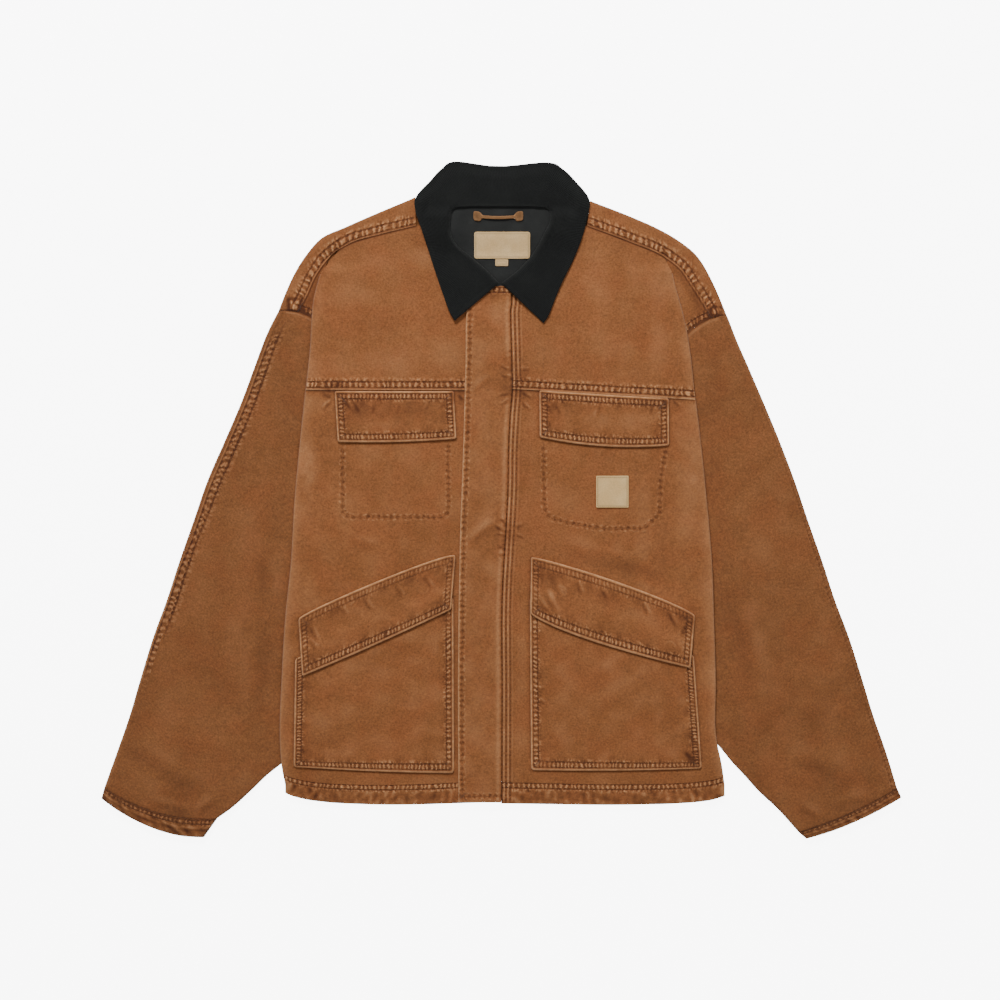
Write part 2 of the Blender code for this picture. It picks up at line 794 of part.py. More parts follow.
def front_rows(side, levels, thick):
    """Rows of a front panel, from the up of each end of a row and its share of the hem's curve."""
    flip = -1 if side == RIGHT else 1
    outer, inner = [], []
    for centre_up, fold_up, curved in levels:
        centre = RIGHT_FRONT_INNER if side == RIGHT else reading(PLACKET, centre_up, 2) + SEAM
        fold = fold_line(fold_up, side)
        places = []
        for s in np.linspace(0, 1, 40):
            bow = hem_line(mix(centre, fold, s), side) - mix(hem_line(centre, side), hem_line(fold, side), s)
            places.append((flip * mix(centre, fold, s), mix(centre_up, fold_up, s) + curved * bow))
        path = Path(places)
        row = profile_row(path, front_profile(path, thick, side == LEFT))
        outer.append(row[0])
        inner.append(row[1])
    return outer, inner


def hem_level(side, share):
    """Row of a front, share of the way from its hem seam to its hem edge."""
    centre = hem_line(10, side)
    fold = hem_line(fold_line(-335, side) - 4, side)
    return mix(centre + HEM_HEIGHT, centre, share), mix(fold + HEM_HEIGHT - 2, fold, share), 1


def lower_front(side, label):
    top, low = CHEST_SEAM[side], hem_level(side, 0)
    levels = []
    for t in FRONT_SHARES:
        levels.append([mix(top[k] - SEAM, low[k] + SEAM / 2, t) for k in (0, 1)] + [t])
    outer, inner = front_rows(side, levels, CANVAS)
    wall(f"front_{label}", outer, inner, "canvas_body")
    return Surface([row[:FRONT_COLUMNS] for row in outer])


def front_hem(side, label):
    levels = [hem_level(side, t) for t in (0.006, 0.5, 1)]
    outer, inner = front_rows(side, levels, HEM_PLY)
    wall(f"hem_front_{label}", outer, inner, "canvas_body")
    return Surface([row[:FRONT_COLUMNS] for row in outer])


YOKE_FOLD_ROWS = 11
YOKE_FOLD_TOP = 262
SHOULDER_ROWS = 4


def yoke_edges(side):
    """Matching points up the inner and the outer edge of a front's top panel."""
    low = CHEST_SEAM[side]
    outer = [(fold_line(up, side), up) for up in np.linspace(low[1], YOKE_FOLD_TOP, YOKE_FOLD_ROWS)]
    for t in STRIP_SHARES[:SHOULDER_ROWS][::-1]:
        x, y = strip_path(side, t).share(1)
        outer.append((abs(x), y))
    centre = []
    for up in np.linspace(low[0], NECKLINE[side][0][1] - 10, 5):
        centre.append((RIGHT_FRONT_INNER if side == RIGHT else reading(PLACKET, up, 2) + CURVED_SEAM, up))
    inner = Path(line_through(centre + list(NECKLINE[side])))
    marks = Path(outer).marks
    return [(inner.share(mark / marks[-1]), np.array(point)) for mark, point in zip(marks, outer)]


def top_front(side, label):
    """Front above the chest seam: its side is folded under below the shoulder and cut above."""
    outer, inner = [], []
    for start, end in yoke_edges(side):
        end = end - (end - start) / np.linalg.norm(end - start) * SEAM
        path = Path(signed([mix(start, end, s) for s in np.linspace(0, 1, 30)], side))
        profile = front_profile(path, CANVAS, side == LEFT)
        if len(outer) >= YOKE_FOLD_ROWS:
            for j, a in enumerate(np.linspace(0, path.length, FRONT_COLUMNS)):
                profile[j] = (a, front_height(*path.at(a)), 0, CANVAS)
        row = profile_row(path, profile)
        outer.append(row[0])
        inner.append(row[1])
    keep = lambda i, j: j < FRONT_COLUMNS - 1 or i + 1 < YOKE_FOLD_ROWS
    wall(f"front_yoke_{label}", outer, inner, "canvas_body", keep=keep)
    return Surface([row[:FRONT_COLUMNS] for row in outer])


# ---------------------------------------------------------------- what lies on the fronts


def inside(quad, x, y, soft):
    """1 inside a convex quadrilateral and just round it, fading to 0 across a width of soft."""
    corners = np.array(quad, float)
    area = sum(a[0] * b[1] - b[0] * a[1] for a, b in zip(corners, np.roll(corners, -1, 0)))
    depth = math.inf
    for a, b in zip(corners, np.roll(corners, -1, 0)):
        run = (b - a) / np.linalg.norm(b - a)
        depth = min(depth, (run[0] * (y - a[1]) - run[1] * (x - a[0])) * math.copysign(1, area))
    return ramp(depth, -3 - soft, -3)


class Fronts:
    """The top of both fronts with everything laid on them so far."""

    def __init__(self, surfaces):
        self.surfaces = surfaces
        self.laid = []

    def height(self, x, y):
        found = None
        for surface in self.surfaces:
            found = surface.height(x, y, None)
            if found is not None:
                break
        if found is None:
            found = front_height(x, y)
        return found + sum(ply * inside(quad, x, y, 18) for quad, ply in self.laid)


def laid_patch(name, quad, fronts, ply, slot, columns, rows, sag=(0.0, 0.5), rise=(0.0, 1.0), crown=0.0):
    """A piece laid on the fronts, from four corners, with its lower edge bowed down and its upper edge up."""
    a, b, c, d = (np.array(p, float) for p in quad)
    deep, deepest = sag
    high, lean = rise
    outer, inner = [], []
    for t in np.linspace(0, 1, rows):
        over, under = [], []
        for s in np.linspace(0, 1, columns):
            x, y = mix(mix(a, b, s), mix(d, c, s), t)
            bow = s ** (math.log(0.5) / math.log(deepest))
            arch = s ** lean
            y += high * (1 - t) * 2 * math.sqrt(arch * (1 - arch)) - deep * t * 4 * bow * (1 - bow)
            low = fronts.height(x, y) + LAID
            puff = crown * 16 * s * (1 - s) * t * (1 - t)
            under.append((x, y, low))
            over.append((x, y, low + ply + puff))
        outer.append(over)
        inner.append(under)
    wall(name, outer, inner, slot)


def placket(fronts):
    """Fly over the zip: a band down the centre front, lapped over the right front."""
    outer, inner = [], []
    for up in list(np.linspace(248, 200, 4)) + list(np.linspace(180, -351, 17)):
        free, sewn = reading(PLACKET, up, 1), reading(PLACKET, up, 2) - SEAM
        over, under = [], []
        for s in np.linspace(0, 1, 5):
            x = mix(free, sewn, s)
            low = fronts.height(min(x, -RIGHT_FRONT_INNER), up) + LAID
            under.append((x, up, low))
            over.append((x, up, low + PLACKET_PLY))
        outer.append(over)
        inner.append(under)
    wall("placket", outer, inner, "canvas_body")


# ---------------------------------------------------------------- collar and neck


COLLAR_SHARES = (0, 0.06, 0.14, 0.3, 0.5, 0.68, 0.84, 0.93, 1)
COLLAR_OVER_BACK = 7.0
COLLAR_CURL = 2.6
COLLAR_CLEAR = 0.8
COLLAR_EDGE_LOW = UNDER_COLLAR_TOP + SEAM


def collar_low(x, y, fronts):
    """Underside of the collar, over the fronts or over the back of the neck."""
    placket_rise = (PLACKET_PLY + LAID) * ramp(x, -52, -44) * ramp(x, 24, 16) * ramp(y, 262, 255)
    over_front = max(fronts.height(x, y), front_height(x, y)) + placket_rise + COLLAR_CLEAR
    on_front = max(ramp(y, 342, 326), ramp(abs(x), 82, 92))
    return mix(COLLAR_OVER_BACK, over_front, on_front)


def collar(fronts):
    """The collar's upper side: leaf on the fronts, stand at the back of the neck."""
    first, last = COLLAR_BACK_ROWS
    outer, inner = [], []
    fine = []
    for k in range(len(COLLAR) - 1):
        fine += [k, k + 0.5] if k in COLLAR_SPLIT else [k]
    fine.append(len(COLLAR) - 1)
    keyed = [(k,) + row for k, row in enumerate(COLLAR)]
    for k in fine:
        x0, y0, x1, y1 = (reading(keyed, k, column) for column in (1, 2, 3, 4))
        at_back = ramp(k, first - 0.5, first + 1.5) * ramp(k, last + 0.5, last - 1.5)
        over, under = [], []
        for s in COLLAR_SHARES:
            x, y = mix(x0, x1, s), mix(y0, y1, s)
            low = collar_low(x, y, fronts)
            low -= COLLAR_CURL * (1 - at_back) * (1 - ramp(s, 0, 0.12)) * ramp(y, 262, 300)
            low = mix(low, COLLAR_EDGE_LOW, at_back * ramp(s, 0.66, 1))
            under.append((x, y, low))
            over.append((x, y, low + CORDUROY))
        outer.append(over)
        inner.append(under)
    wall("collar", outer, inner, "corduroy")


def under_collar():
    """The leaf's hidden back part, flat under the back of the neck."""
    outer, inner = [], []
    for t in (0, 0.5, 1):
        row = []
        for x in np.linspace(UNDER_COLLAR[0][0], UNDER_COLLAR[-1][0], 15):
            row.append((x, mix(reading(UNDER_COLLAR, x, 1), reading(UNDER_COLLAR, x, 2), t)))
        outer.append([(x, y, UNDER_COLLAR_TOP) for x, y in row])
        inner.append([(x, y, 0) for x, y in row])
    wall("under_collar", outer, inner, "corduroy")


def neck_lining(back_surface):
    outer, inner = [], []
    for up in np.linspace(NECK_LINING[0][0], NECK_LINING[-1][0], 12):
        half = reading(NECK_LINING, up, 1)
        over, under = [], []
        for x in np.linspace(-half, half, 9):
            ground = back_surface.height(x, up, neck_lift(x, up) + CANVAS)
            under.append((x, up, ground + LAID))
            over.append((x, up, ground + LAID + LINING_PLY))
        outer.append(over)
        inner.append(under)
    wall("neck_lining", outer, inner, "lining")
    return Surface(outer)


def neck_patch(name, corners, lining, slot):
    (left, top), (right, low) = corners
    outer, inner = [], []
    for y in np.linspace(top, low, 6):
        over, under = [], []
        for x in np.linspace(left, right, 7):
            ground = lining.height(x, y, 0) + SEAM
            under.append((x, y, ground))
            over.append((x, y, ground + LABEL_PLY))
        outer.append(over)
        inner.append(under)
    wall(name, outer, inner, slot)


def hanger_loop(lining):
    """Strap sewn down at both ends, with wider folded ends."""
    left, right = LOOP_SPAN
    end_wide, end_tall = LOOP_END
    outer, inner = [], []
    stops = (left, left + end_wide * 0.5, left + end_wide, left + end_wide + 2)
    spots = list(stops) + list(np.linspace(left + 18, right - 18, 4)) + [left + right - s for s in stops[::-1]]
    for x in spots:
        near_end = min(x - left, right - x)
        half = mix(end_tall, LOOP_WIDTH, ramp(near_end, end_wide - 0.5, end_wide + 1.5)) / 2
        rise = 0.9 * ramp(near_end, end_wide, 22)
        row = []
        for s in (-1, 0, 1):
            y = LOOP_UP + s * half
            row.append((x, y, lining.height(x, y, 0) + SEAM + rise))
        inner.append(row)
        outer.append([(x, y, z + 1.6) for x, y, z in row])
    wall("hanger_loop", outer, inner, "loop")


# ---------------------------------------------------------------- the jacket


def jacket():
    surfaces = []
    for side, label, _ in SIDES:
        sleeve(side, label)
        shoulder_strip(side, label)
        surfaces.append(lower_front(side, label))
        surfaces.append(top_front(side, label))
        surfaces.append(front_hem(side, label))
    back_surface = back()
    back_hem()
    fronts = Fronts(surfaces)
    placket(fronts)
    for side, label, _ in SIDES:
        pocket, hip, chest = (signed(t[side], side) for t in (HIP_POCKET, HIP_FLAP, CHEST_FLAP))
        laid_patch(f"hip_pocket_{label}", pocket, fronts, POCKET_PLY, "canvas_body", 11, 10, HIP_POCKET_SAG)
        fronts.laid.append((pocket, POCKET_PLY + LAID))
        sags = HIP_FLAP_SAG[side], CHEST_FLAP_SAG[side]
        rise = HIP_FLAP_RISE[side]
        laid_patch(f"hip_flap_{label}", hip, fronts, FLAP_PLY, "canvas_body", 14, 6, sags[0], rise, 0.4)
        laid_patch(f"chest_flap_{label}", chest, fronts, FLAP_PLY, "canvas_body", 11, 5, sags[1], crown=0.4)
    laid_patch("chest_label", CHEST_LABEL, fronts, LABEL_PLY, "label", 6, 6)
    lining = neck_lining(back_surface)
    neck_patch("neck_label", NECK_LABEL, lining, "label")
    neck_patch("size_tab", SIZE_TAB, lining, "label")
    hanger_loop(lining)
    under_collar()
    collar(fronts)


for existing in list(bpy.data.objects):
    bpy.data.objects.remove(existing, do_unlink=True)
jacket()
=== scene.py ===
"""Looks of the laid-out chore jacket: its cloth, seams, stitching, floor, light and camera.

Every panel is made again from the same named sizes as its solid, as a fine closed wall of cloth with the pulls of
its stitching in it, and takes the place of its solid.
Everything is worked out in millimetres. +Z is up from the surface that the jacket lies on, +Y runs
from the hem to the collar and +X to the wearer's left. "out" is the distance from the centre line.
"""

import math

import bpy
import numpy as np
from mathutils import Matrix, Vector
from mathutils.bvhtree import BVHTree


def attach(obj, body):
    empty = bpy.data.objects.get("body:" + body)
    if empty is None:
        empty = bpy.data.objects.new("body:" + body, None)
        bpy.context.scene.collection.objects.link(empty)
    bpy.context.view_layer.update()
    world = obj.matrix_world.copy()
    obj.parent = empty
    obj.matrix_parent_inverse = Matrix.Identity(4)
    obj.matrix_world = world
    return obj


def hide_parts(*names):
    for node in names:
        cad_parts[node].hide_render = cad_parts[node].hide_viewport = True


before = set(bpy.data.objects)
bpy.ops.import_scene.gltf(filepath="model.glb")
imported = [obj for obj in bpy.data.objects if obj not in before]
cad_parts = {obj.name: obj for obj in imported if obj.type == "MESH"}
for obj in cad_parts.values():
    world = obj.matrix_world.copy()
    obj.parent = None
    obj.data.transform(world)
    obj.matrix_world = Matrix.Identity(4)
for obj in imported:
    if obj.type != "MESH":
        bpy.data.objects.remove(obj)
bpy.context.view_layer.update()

MM = 0.001
RIGHT = 1
LEFT = 2
SIDES = ((RIGHT, "right", -1), (LEFT, "left", 1))
BLOCK = 4  # fine cells of an outer wall to each cell of the inner one

# ---------------------------------------------------------------- sizes shared with the solids

CANVAS = 1.5
HEM_PLY = 2.1
POCKET_PLY = 1.6
FLAP_PLY = 2.4
PLACKET_PLY = 2.4
CORDUROY = 2.5
LINING_PLY = 1.0
LABEL_PLY = 1.0
LOOP_PLY = 1.6
SEAM = 0.3
CURVED_SEAM = 0.8
TOUCHING = 0.05
LAID = 0.45
FRONT_TOP = 6.9
FRONT_TOP_OVER_SLEEVE = 3.0
SLEEVE_TOP = 6.6
SLEEVE_PRESSED = 3.6
RETURN_LIFT = SLEEVE_PRESSED + SEAM
NECK_LIFT = 3.4
HEM_SAG = 1.3
UNDER_COLLAR_TOP = 3.0
STRIP_DIVE = (0.40, 0.56)
STRIP_RETURN = 14
HEM_HEIGHT = 25
BACK_HEM_UP = 2
RIGHT_FRONT_INNER = 12
FELLED_SEAM = 10
UNDER_TURN = 8
UNDERARM = (40, 60)
YOKE_FOLD_TOP = 262
LOOP_SPAN = (-31.5, 26.5)
LOOP_UP = 329.5
LOOP_WIDTH = 5
LOOP_END = (9, 13)

BODY_FOLD = (
    (283, 203, 196), (269, 207.5, 199), (255, 211.5, 201.5), (232, 217.5, 208), (209, 219.5, 214),
    (180, 221, 219.5), (127, 226.5, 225.5), (69, 232.5, 232.5), (0, 239, 239.5), (-70, 243, 245.5),
    (-139, 250, 248), (-209, 254, 250), (-279, 256, 251), (-308, 254, 257), (-331, 250, 260.5),
)
SLEEVE_OUTER = (
    (217, 260, 263.5), (197, 269.5, 270), (151, 287, 289.5), (116, 300, 304.5), (69, 320, 324),
    (23, 340, 341.5), (-23, 356, 357), (-76, 374.5, 375.5), (-116, 387.5, 388.5), (-157, 402.5, 404),
    (-209, 418.5, 420.5), (-250, 430.5, 433), (-296, 446.5, 449), (-334, 460, 460.5),
)
SLEEVE_INNER = (
    (58, 163, 162), (-23, 167.5, 168), (-116, 177, 177), (-197, 188, 193), (-232, 200, 208),
    (-263, 216, 231), (-284, 232, 252), (-307, 255, 271), (-318, 269, 281.5), (-338, 290, 299.5),
    (-357, 311, 320),
)
CUFF_INNER_END = {RIGHT: (329, -370), LEFT: (346, -385.5)}
SIDE_SEAM = (
    (40, 135, 134), (-23, 138, 139), (-116, 146, 146), (-197, 156, 160), (-279, 172, 175),
    (-353, 186, 188),
)
ARMHOLE = {
    RIGHT: ((258, 219), (178, 231), (163, 58)),
    LEFT: ((263, 214), (190, 212), (162, 58)),
}
SHOULDER = {
    RIGHT: (
        (99, 351.5, 98, 318), (148, 331, 140, 308), (181, 316.5, 178, 296), (208, 304, 199, 281),
        (226, 284, 204, 266), (245.5, 250.5, 209, 243), (258, 219, 209, 214),
    ),
    LEFT: (
        (104, 347.5, 100.5, 318), (154, 328, 149, 300), (181, 316, 175, 289), (206.5, 301.5, 192, 279),
        (225, 287, 194, 263), (248, 250, 200, 236), (263, 214, 210, 193),
    ),
}
NECKLINE = {
    RIGHT: ((12, 232), (21, 250), (41, 263), (61, 276), (75, 296), (82, 318)),
    LEFT: ((13, 226), (16, 243), (31, 260), (49, 274), (67, 292), (78, 317)),
}
CHEST_SEAM = {RIGHT: (127, 127), LEFT: (128.5, 116)}
HEM_LINE = (
    (0, -351, -352.5), (160, -352, -353), (205, -349, -351.5), (230, -345, -349.5),
    (246, -340, -347), (262, -330, -342),
)
PLACKET = (
    (248, -26, 6), (240, -37, 11), (216, -39.5, 11.2), (162, -40.5, 12.6), (125, -41.5, 13),
    (97, -42.3, 10.8), (56, -43.5, 8.8), (14, -45, 8.2), (-24, -46.5, 6.4), (-60, -47.4, 4.2),
    (-104, -48.3, 1.8), (-224, -49.3, 1.4), (-350, -48.8, 1),
)
HIP_POCKET = {
    RIGHT: ((54.5, -112), (237.8, -184), (239.6, -309.5), (53.8, -317)),
    LEFT: ((34, -112), (224, -180), (233.5, -311.5), (35.5, -313.5)),
}
HIP_FLAP = {
    RIGHT: ((52, -66), (234, -138), (229.5, -204), (57, -127)),
    LEFT: ((35.5, -66.5), (225.5, -135), (220, -194.5), (34.5, -131)),
}
CHEST_FLAP = {
    RIGHT: ((54, 126), (192, 126), (188.5, 67), (51, 70.8)),
    LEFT: ((45, 127), (195, 117.5), (195.5, 63), (45.5, 72.5)),
}
HIP_FLAP_SAG = {RIGHT: (1.5, 0.5), LEFT: (8.0, 0.35)}
CHEST_FLAP_SAG = {RIGHT: (1.9, 0.5), LEFT: (5.8, 0.5)}
HIP_POCKET_SAG = (1.5, 0.5)
FLAT_RISE = (0.0, 1.0)
HIP_FLAP_RISE = {RIGHT: (7.8, 0.75), LEFT: (7.8, 1.3)}
CHEST_LABEL = ((111, 28), (148.5, 28), (148.5, -9), (111, -9))
COLLAR = (
    (-1.6, 251, -53, 207.5), (-10, 260, -59, 218), (-19, 269, -66, 237), (-34, 282, -75, 263),
    (-49, 294, -84, 291), (-57, 307, -92, 315), (-58, 322, -98.5, 335), (-56, 334, -98, 351),
    (-50, 339, -82, 370), (-42, 339.5, -69, 384), (-32, 340, -52.5, 393), (0, 340, -3, 387.5),
    (32, 340, 54, 392), (42, 339.5, 73, 384), (50, 339, 89, 368), (57, 334, 103, 348.5),
    (57, 322, 101, 328), (51, 310, 94, 302), (44, 296, 84, 277), (34, 281, 72, 253),
    (20, 266, 63, 232), (10, 258, 56, 214), (0.6, 251, 50, 205),
)
COLLAR_BACK_ROWS = (7, 15)
COLLAR_OVER_BACK = 7.0
COLLAR_CURL = 2.6
COLLAR_CLEAR = 0.8
UNDER_COLLAR = (
    (-76, 352, 372), (-66, 338, 384), (-50, 327, 390.5), (-25, 322, 388.5), (0, 321, 386),
    (25, 322, 388), (50, 327, 389.5), (66, 338, 382.5), (78, 351, 369),
)
NECK_LINING = ((343, 61), (334, 66), (320, 68), (302, 66), (282, 45), (264, 31), (246, 16))
NECK_LABEL = ((-30.5, 311), (34.5, 280))
SIZE_TAB = ((-6, 279.4), (9, 271.5))
SOFT_FOLDS = (
    (-262, 190, -196, -40, 14, 0.8), (-335, -40, -300, -240, 16, 0.9), (-400, -170, -330, -260, 13, 0.7),
    (265, 185, 330, 10, 14, 0.8), (320, -30, 300, -230, 16, 0.9), (405, -180, 340, -270, 13, 0.7),
    (-130, 215, -60, 150, 20, 0.5), (120, 240, 70, 160, 20, 0.5),
)
CUFF_HEIGHT = {RIGHT: (13, 25), LEFT: (12.5, 11)}
CUFF_CORNER = {RIGHT: 9, LEFT: 5}
CUFF_BULGE = {RIGHT: 23, LEFT: 9}
ARMHOLE_GAP = 0.8

# Flat cuts of the cloth before it was sewn, turnings included: (width, length). A laid patch's cut is its
# own size and its turnings.
CUTS = {
    "sleeve_front": (250, 590), "sleeve_back": (215, 590), "cuff": (290, 20), "yoke": (75, 240),
    "front": (345, 465), "front_yoke": (300, 205), "hem_front": (330, 26), "back": (500, 680),
    "hem_back": (372, 24), "placket": (57, 600), "collar": (460, 75), "under_collar": (156, 70),
    "neck_lining": (137, 98), "hanger_loop": (58, 13),
}
POCKET_TURNINGS = (12, 26)
FLAP_TURNINGS = (8, 8)

# Lengths of the fine grids that the cloth is made on, and the steps of the largest of them.
SLEEVE_LONG = 560
SLEEVE_WIDE = 230
STRIP_LONG = 215
STRIP_WIDE = 40
FRONT_LONG = 452
FRONT_WIDE = 230
FRONT_HEM_LONG = 24.5
BACK_HEM_LONG = 22
CUFF_LONG = 18
PLACKET_ENDS = (248, -351)
FRONT_STEP = 1.6
RETURN_STEPS = 16
FOLD_STEPS = 12
BACK_COLUMNS = 81

# ---------------------------------------------------------------- sizes of the sewing

# Stitches: their lengths, the share of one that shows, the steepest that is laid, the height that they
# are dropped from, and the radius of the threads.
STITCH = 3.3
POCKET_STITCH = 3.4
LABEL_STITCH = 2.2
STITCH_SHOWN = 0.8
STITCH_STEEPEST = 1.5
ABOVE = 60
THREAD = 0.3
LABEL_THREAD_RADIUS = 0.16

# Rows of stitching, as distances from the edge that is sewn down.
CHEST_BAND = (3.2, 9.8)
HEM_BAND = (0.7, 6.3)
EDGE_BAND = (3.2, 8.8)
SHOULDER_BAND = (2.0, 9.5)
CUFF_BAND = (1.4, 5.2)
FELLED_BAND = (1.6, 10.0)
ARM_BAND = (2.4, 6.0)
ARM_ROWS = (1.0, 4.6)
RIDGE_ROWS = (5.5, 10.3)
RIDGE_PITCH = 5.2
PLACKET_ROW = 4.6
SNAPS = {RIGHT: ((-211, -173.5), (-90, -102)), LEFT: ((196, -170), (70, -106))}
SNAP_RADIUS = 6.4
AROUND = ("inner", "bottom", "outer")
CHEST_POCKET = {
    RIGHT: ((-183, 66), (-183.2, -14), (-176, -20), (-66, -20), (-60.4, -14), (-60.4, 68)),
    LEFT: ((50.1, 60), (50.6, -10), (57, -20.5), (90, -29), (124, -33.8), (168, -32.5), (184, -16), (186, 20),
           (191, 56)),
}

# Short creases: (x, y, x, y, half width, depth).
CREASES = (
    (-206.9, 124, -194.2, 117, 1.9, 0.35), (-204.6, 105.4, -191.9, 114.7, 1.7, 0.35),
    (-182.6, 119.4, -172.1, 104.3, 1.9, 0.3), (-172.1, 113.6, -162.9, 100.8, 1.7, 0.25),
    (-49.2, 122.8, -42.2, 114.7, 1.5, 0.3), (-63.1, 117, -70.1, 105.4, 1.7, 0.25),
    (-81.7, 115.9, -86.3, 104.3, 1.7, 0.2), (-145.5, 111.2, -148.9, 99.6, 1.7, 0.2),
    (-116.5, 111.2, -118.8, 98.5, 1.7, 0.2), (-186.1, 98.5, -179.1, 88, 1.4, 0.2),
    (-174.5, -46.5, -145.5, -60.4, 4.6, 0.2), (-186.1, -124.2, -180.3, -134.7, 2.1, 0.25),
    (-157.1, -116.1, -148.9, -127.7, 2.1, 0.25), (-122.3, -102.2, -114.1, -113.8, 2.1, 0.25),
    (-87.5, -89.4, -80.5, -102.2, 2.1, 0.25), (-220.9, -148.6, -211.6, -162.5, 2.3, 0.3),
    (-223.2, -162.5, -213.9, -174.1, 2.1, 0.25), (-35.3, -52.3, -1.6, -31.4, 4.6, 0.35),
    (-28.3, 125.2, -7.4, 139.1, 3.5, 0.2), (-0.5, 155.3, 10, 150.7, 1.3, 0.35),
    (0.7, 143.7, 11.1, 142.6, 1.3, 0.35), (-1.6, 119.4, 10, 124, 1.3, 0.35), (0.7, 110.1, 10, 115.9, 1.3, 0.3),
    (-0.5, -22.2, 7.7, -28, 1.5, 0.45), (-6.3, -30.3, 6.5, -37.2, 1.7, 0.5), (-3.9, -39.6, 5.3, -43, 1.4, 0.4),
    (-2.8, -55.8, 6.5, -57, 1.4, 0.4), (-1.6, -65.1, 6.5, -62.8, 1.4, 0.3),
    (23.9, 149.5, 34.3, 151.8, 1.4, 0.3), (23.9, 141.4, 35.5, 139.1, 1.4, 0.3),
    (23.9, 124, 36.7, 118.2, 1.7, 0.35), (23.9, 112.4, 34.3, 104.3, 1.5, 0.3),
    (18.1, -32.6, 27.4, -28, 1.7, 0.3), (16.9, -41.9, 27.4, -44.2, 1.5, 0.3),
    (51.7, 113.6, 57.5, 102, 1.7, 0.25), (64.5, 111.2, 69.1, 98.5, 1.7, 0.2),
    (115.5, 108.9, 113.2, 96.2, 1.7, 0.2), (179.3, 111.2, 173.5, 98.5, 1.7, 0.3),
    (189.8, 111.2, 187.5, 97.3, 1.7, 0.3), (199.1, 113.6, 208.3, 107.8, 1.6, 0.3),
    (201.4, 118.2, 210.7, 120.5, 1.5, 0.25), (37.8, 120.5, 44.8, 115.9, 1.5, 0.25),
    (55.2, -87.1, 71.5, -116.1, 3.6, 0.26), (49.4, -106.8, 64.5, -130, 3.0, 0.24),
    (44.8, -116.1, 57.5, -134.7, 2.4, 0.22), (86.5, -95.2, 94.7, -109.2, 2.1, 0.3),
    (115.5, -102.2, 122.5, -116.1, 2.1, 0.3), (161.9, -118.4, 171.2, -132.4, 2.1, 0.3),
    (194.4, -130, 203.7, -146.3, 2.1, 0.35), (215.3, -141.6, 210.7, -157.9, 1.9, 0.3),
    (69.1, -55.8, 173.5, -87.1, 8.1, 0.3), (115.5, -60.4, 196.7, -104.5, 7, 0.2),
    (42.5, -220.5, 50.6, -218.2, 1.4, 0.3), (41.3, -232.1, 51.7, -236.8, 1.5, 0.3),
    (219.9, -272.7, 228.1, -284.3, 2.1, 0.35), (213, -292.4, 224.6, -301.7, 2.3, 0.4),
    (-276.5, -162.5, -284.7, -255.3, 9.3, 0.6), (-441.3, -290.1, -348.5, -336.5, 8.1, 0.4),
    (-406.5, -351.6, -360.1, -367.8, 4.5, 0.3), (-348.5, -369, -329.9, -351.6, 4.5, 0.3),
    (347.5, -355.1, 364.9, -373.6, 4.5, 0.28), (382.3, -362, 428.7, -343.5, 5.5, 0.28),
    (-284.7, -69.7, -269.6, -116.1, 8.1, 0.4), (272.1, -116.1, 283.7, -208.9, 9.3, 0.5),
    (335.9, -301.7, 405.5, -336.5, 9.3, 0.4),
)
# Soft patches, the darker ones mostly painted shade, under flaps, by seams and beside the body, and the lighter
# ones wash and worn spots: (x, y, reach across, reach up, strength).
SHADE_AND_WASH_PATCHES = (
    (8.8, 135.6, 15, 20, -0.45), (8, 159, 5, 7, -0.4), (10, 126, 6, 8, -0.4), (27, 145, 5, 6, -0.35),
    (26, 121, 5, 6, -0.3), (3, -43, 13, 17, -0.45), (-192.0, 129.0, 13, 9, -0.9), (-50.3, 119.8, 7, 8, -0.9),
    (-8, 240, 22, 8, -0.5), (49.4, 122.8, 9, 9, -0.45), (193.3, 114.7, 10, 10, -0.5),
    (-229, -147.4, 8, 10, -0.4), (-56.1, -73.2, 8, 9, -0.4), (43.6, -74.4, 10, 9, -0.45),
    (219.9, -139.3, 12, 12, -0.5), (224.6, -298.2, 10, 10, -0.4), (-229, -298.2, 9, 9, -0.35),
    (-226, 222, 7, 9, -0.4), (225.7, 211, 10, 9, -0.2), (-217.4, 231.9, 6, 16, -0.25),
    (228.1, 229.6, 6, 14, -0.25), (-222, 34.7, 8, 46, 0.22), (224.6, 23.1, 8, 46, 0.18),
    (173.5, -75.5, 35, 14, -0.2), (98.1, -69.7, 41, 14, -0.12), (58, -88, 11, 8, -0.4),
    (122, -112, 10, 6, -0.35), (203, -134, 10, 8, -0.35), (60, -109, 7, 6, 0.3), (-102, -93, 24, 9, -0.28),
    (-121, 104, 62, 10, -0.32), (-167, 107, 18, 16, -0.35), (60, 108, 12, 12, -0.45), (168, 111, 16, 6, -0.3),
    (115, 96, 22, 9, 0.15), (-246, 120, 20, 90, -0.16), (246, 120, 20, 90, -0.14),
    (-197.7, -343.5, 52, 6, -0.25), (-81.7, -345.8, 35, 5, -0.25), (51.7, -345.8, 35, 6, -0.3),
    (144.5, -347, 46, 6, -0.2),
)
# Box of dense stitches at the shoulder's end: (x, y, half width, half height).
BAR_TACK = {RIGHT: (-239.5, 226.0, 7.5, 8.0), LEFT: (249.5, 219.0, 6.5, 5.5)}
SHOULDER_SEAM = {
    RIGHT: ((98, 318), (140, 308), (178, 296), (199, 281), (214, 261), (226, 235), (233, 222)),
    LEFT: ((100.5, 318), (149, 300), (193, 280.5), (209.5, 267), (220, 251.5), (231.5, 234), (242, 216)),
}


# ---------------------------------------------------------------- numbers and lines

ONE_TURN = 6.28
FAR = 1e9


def ramp(value, start, end):
    """0 before a start and 1 past an end, on a smooth slope between them."""
    t = np.clip((value - start) / (end - start), 0.0, 1.0)
    return t * t * (3 - 2 * t)


def mix(a, b, t):
    return a + (b - a) * t


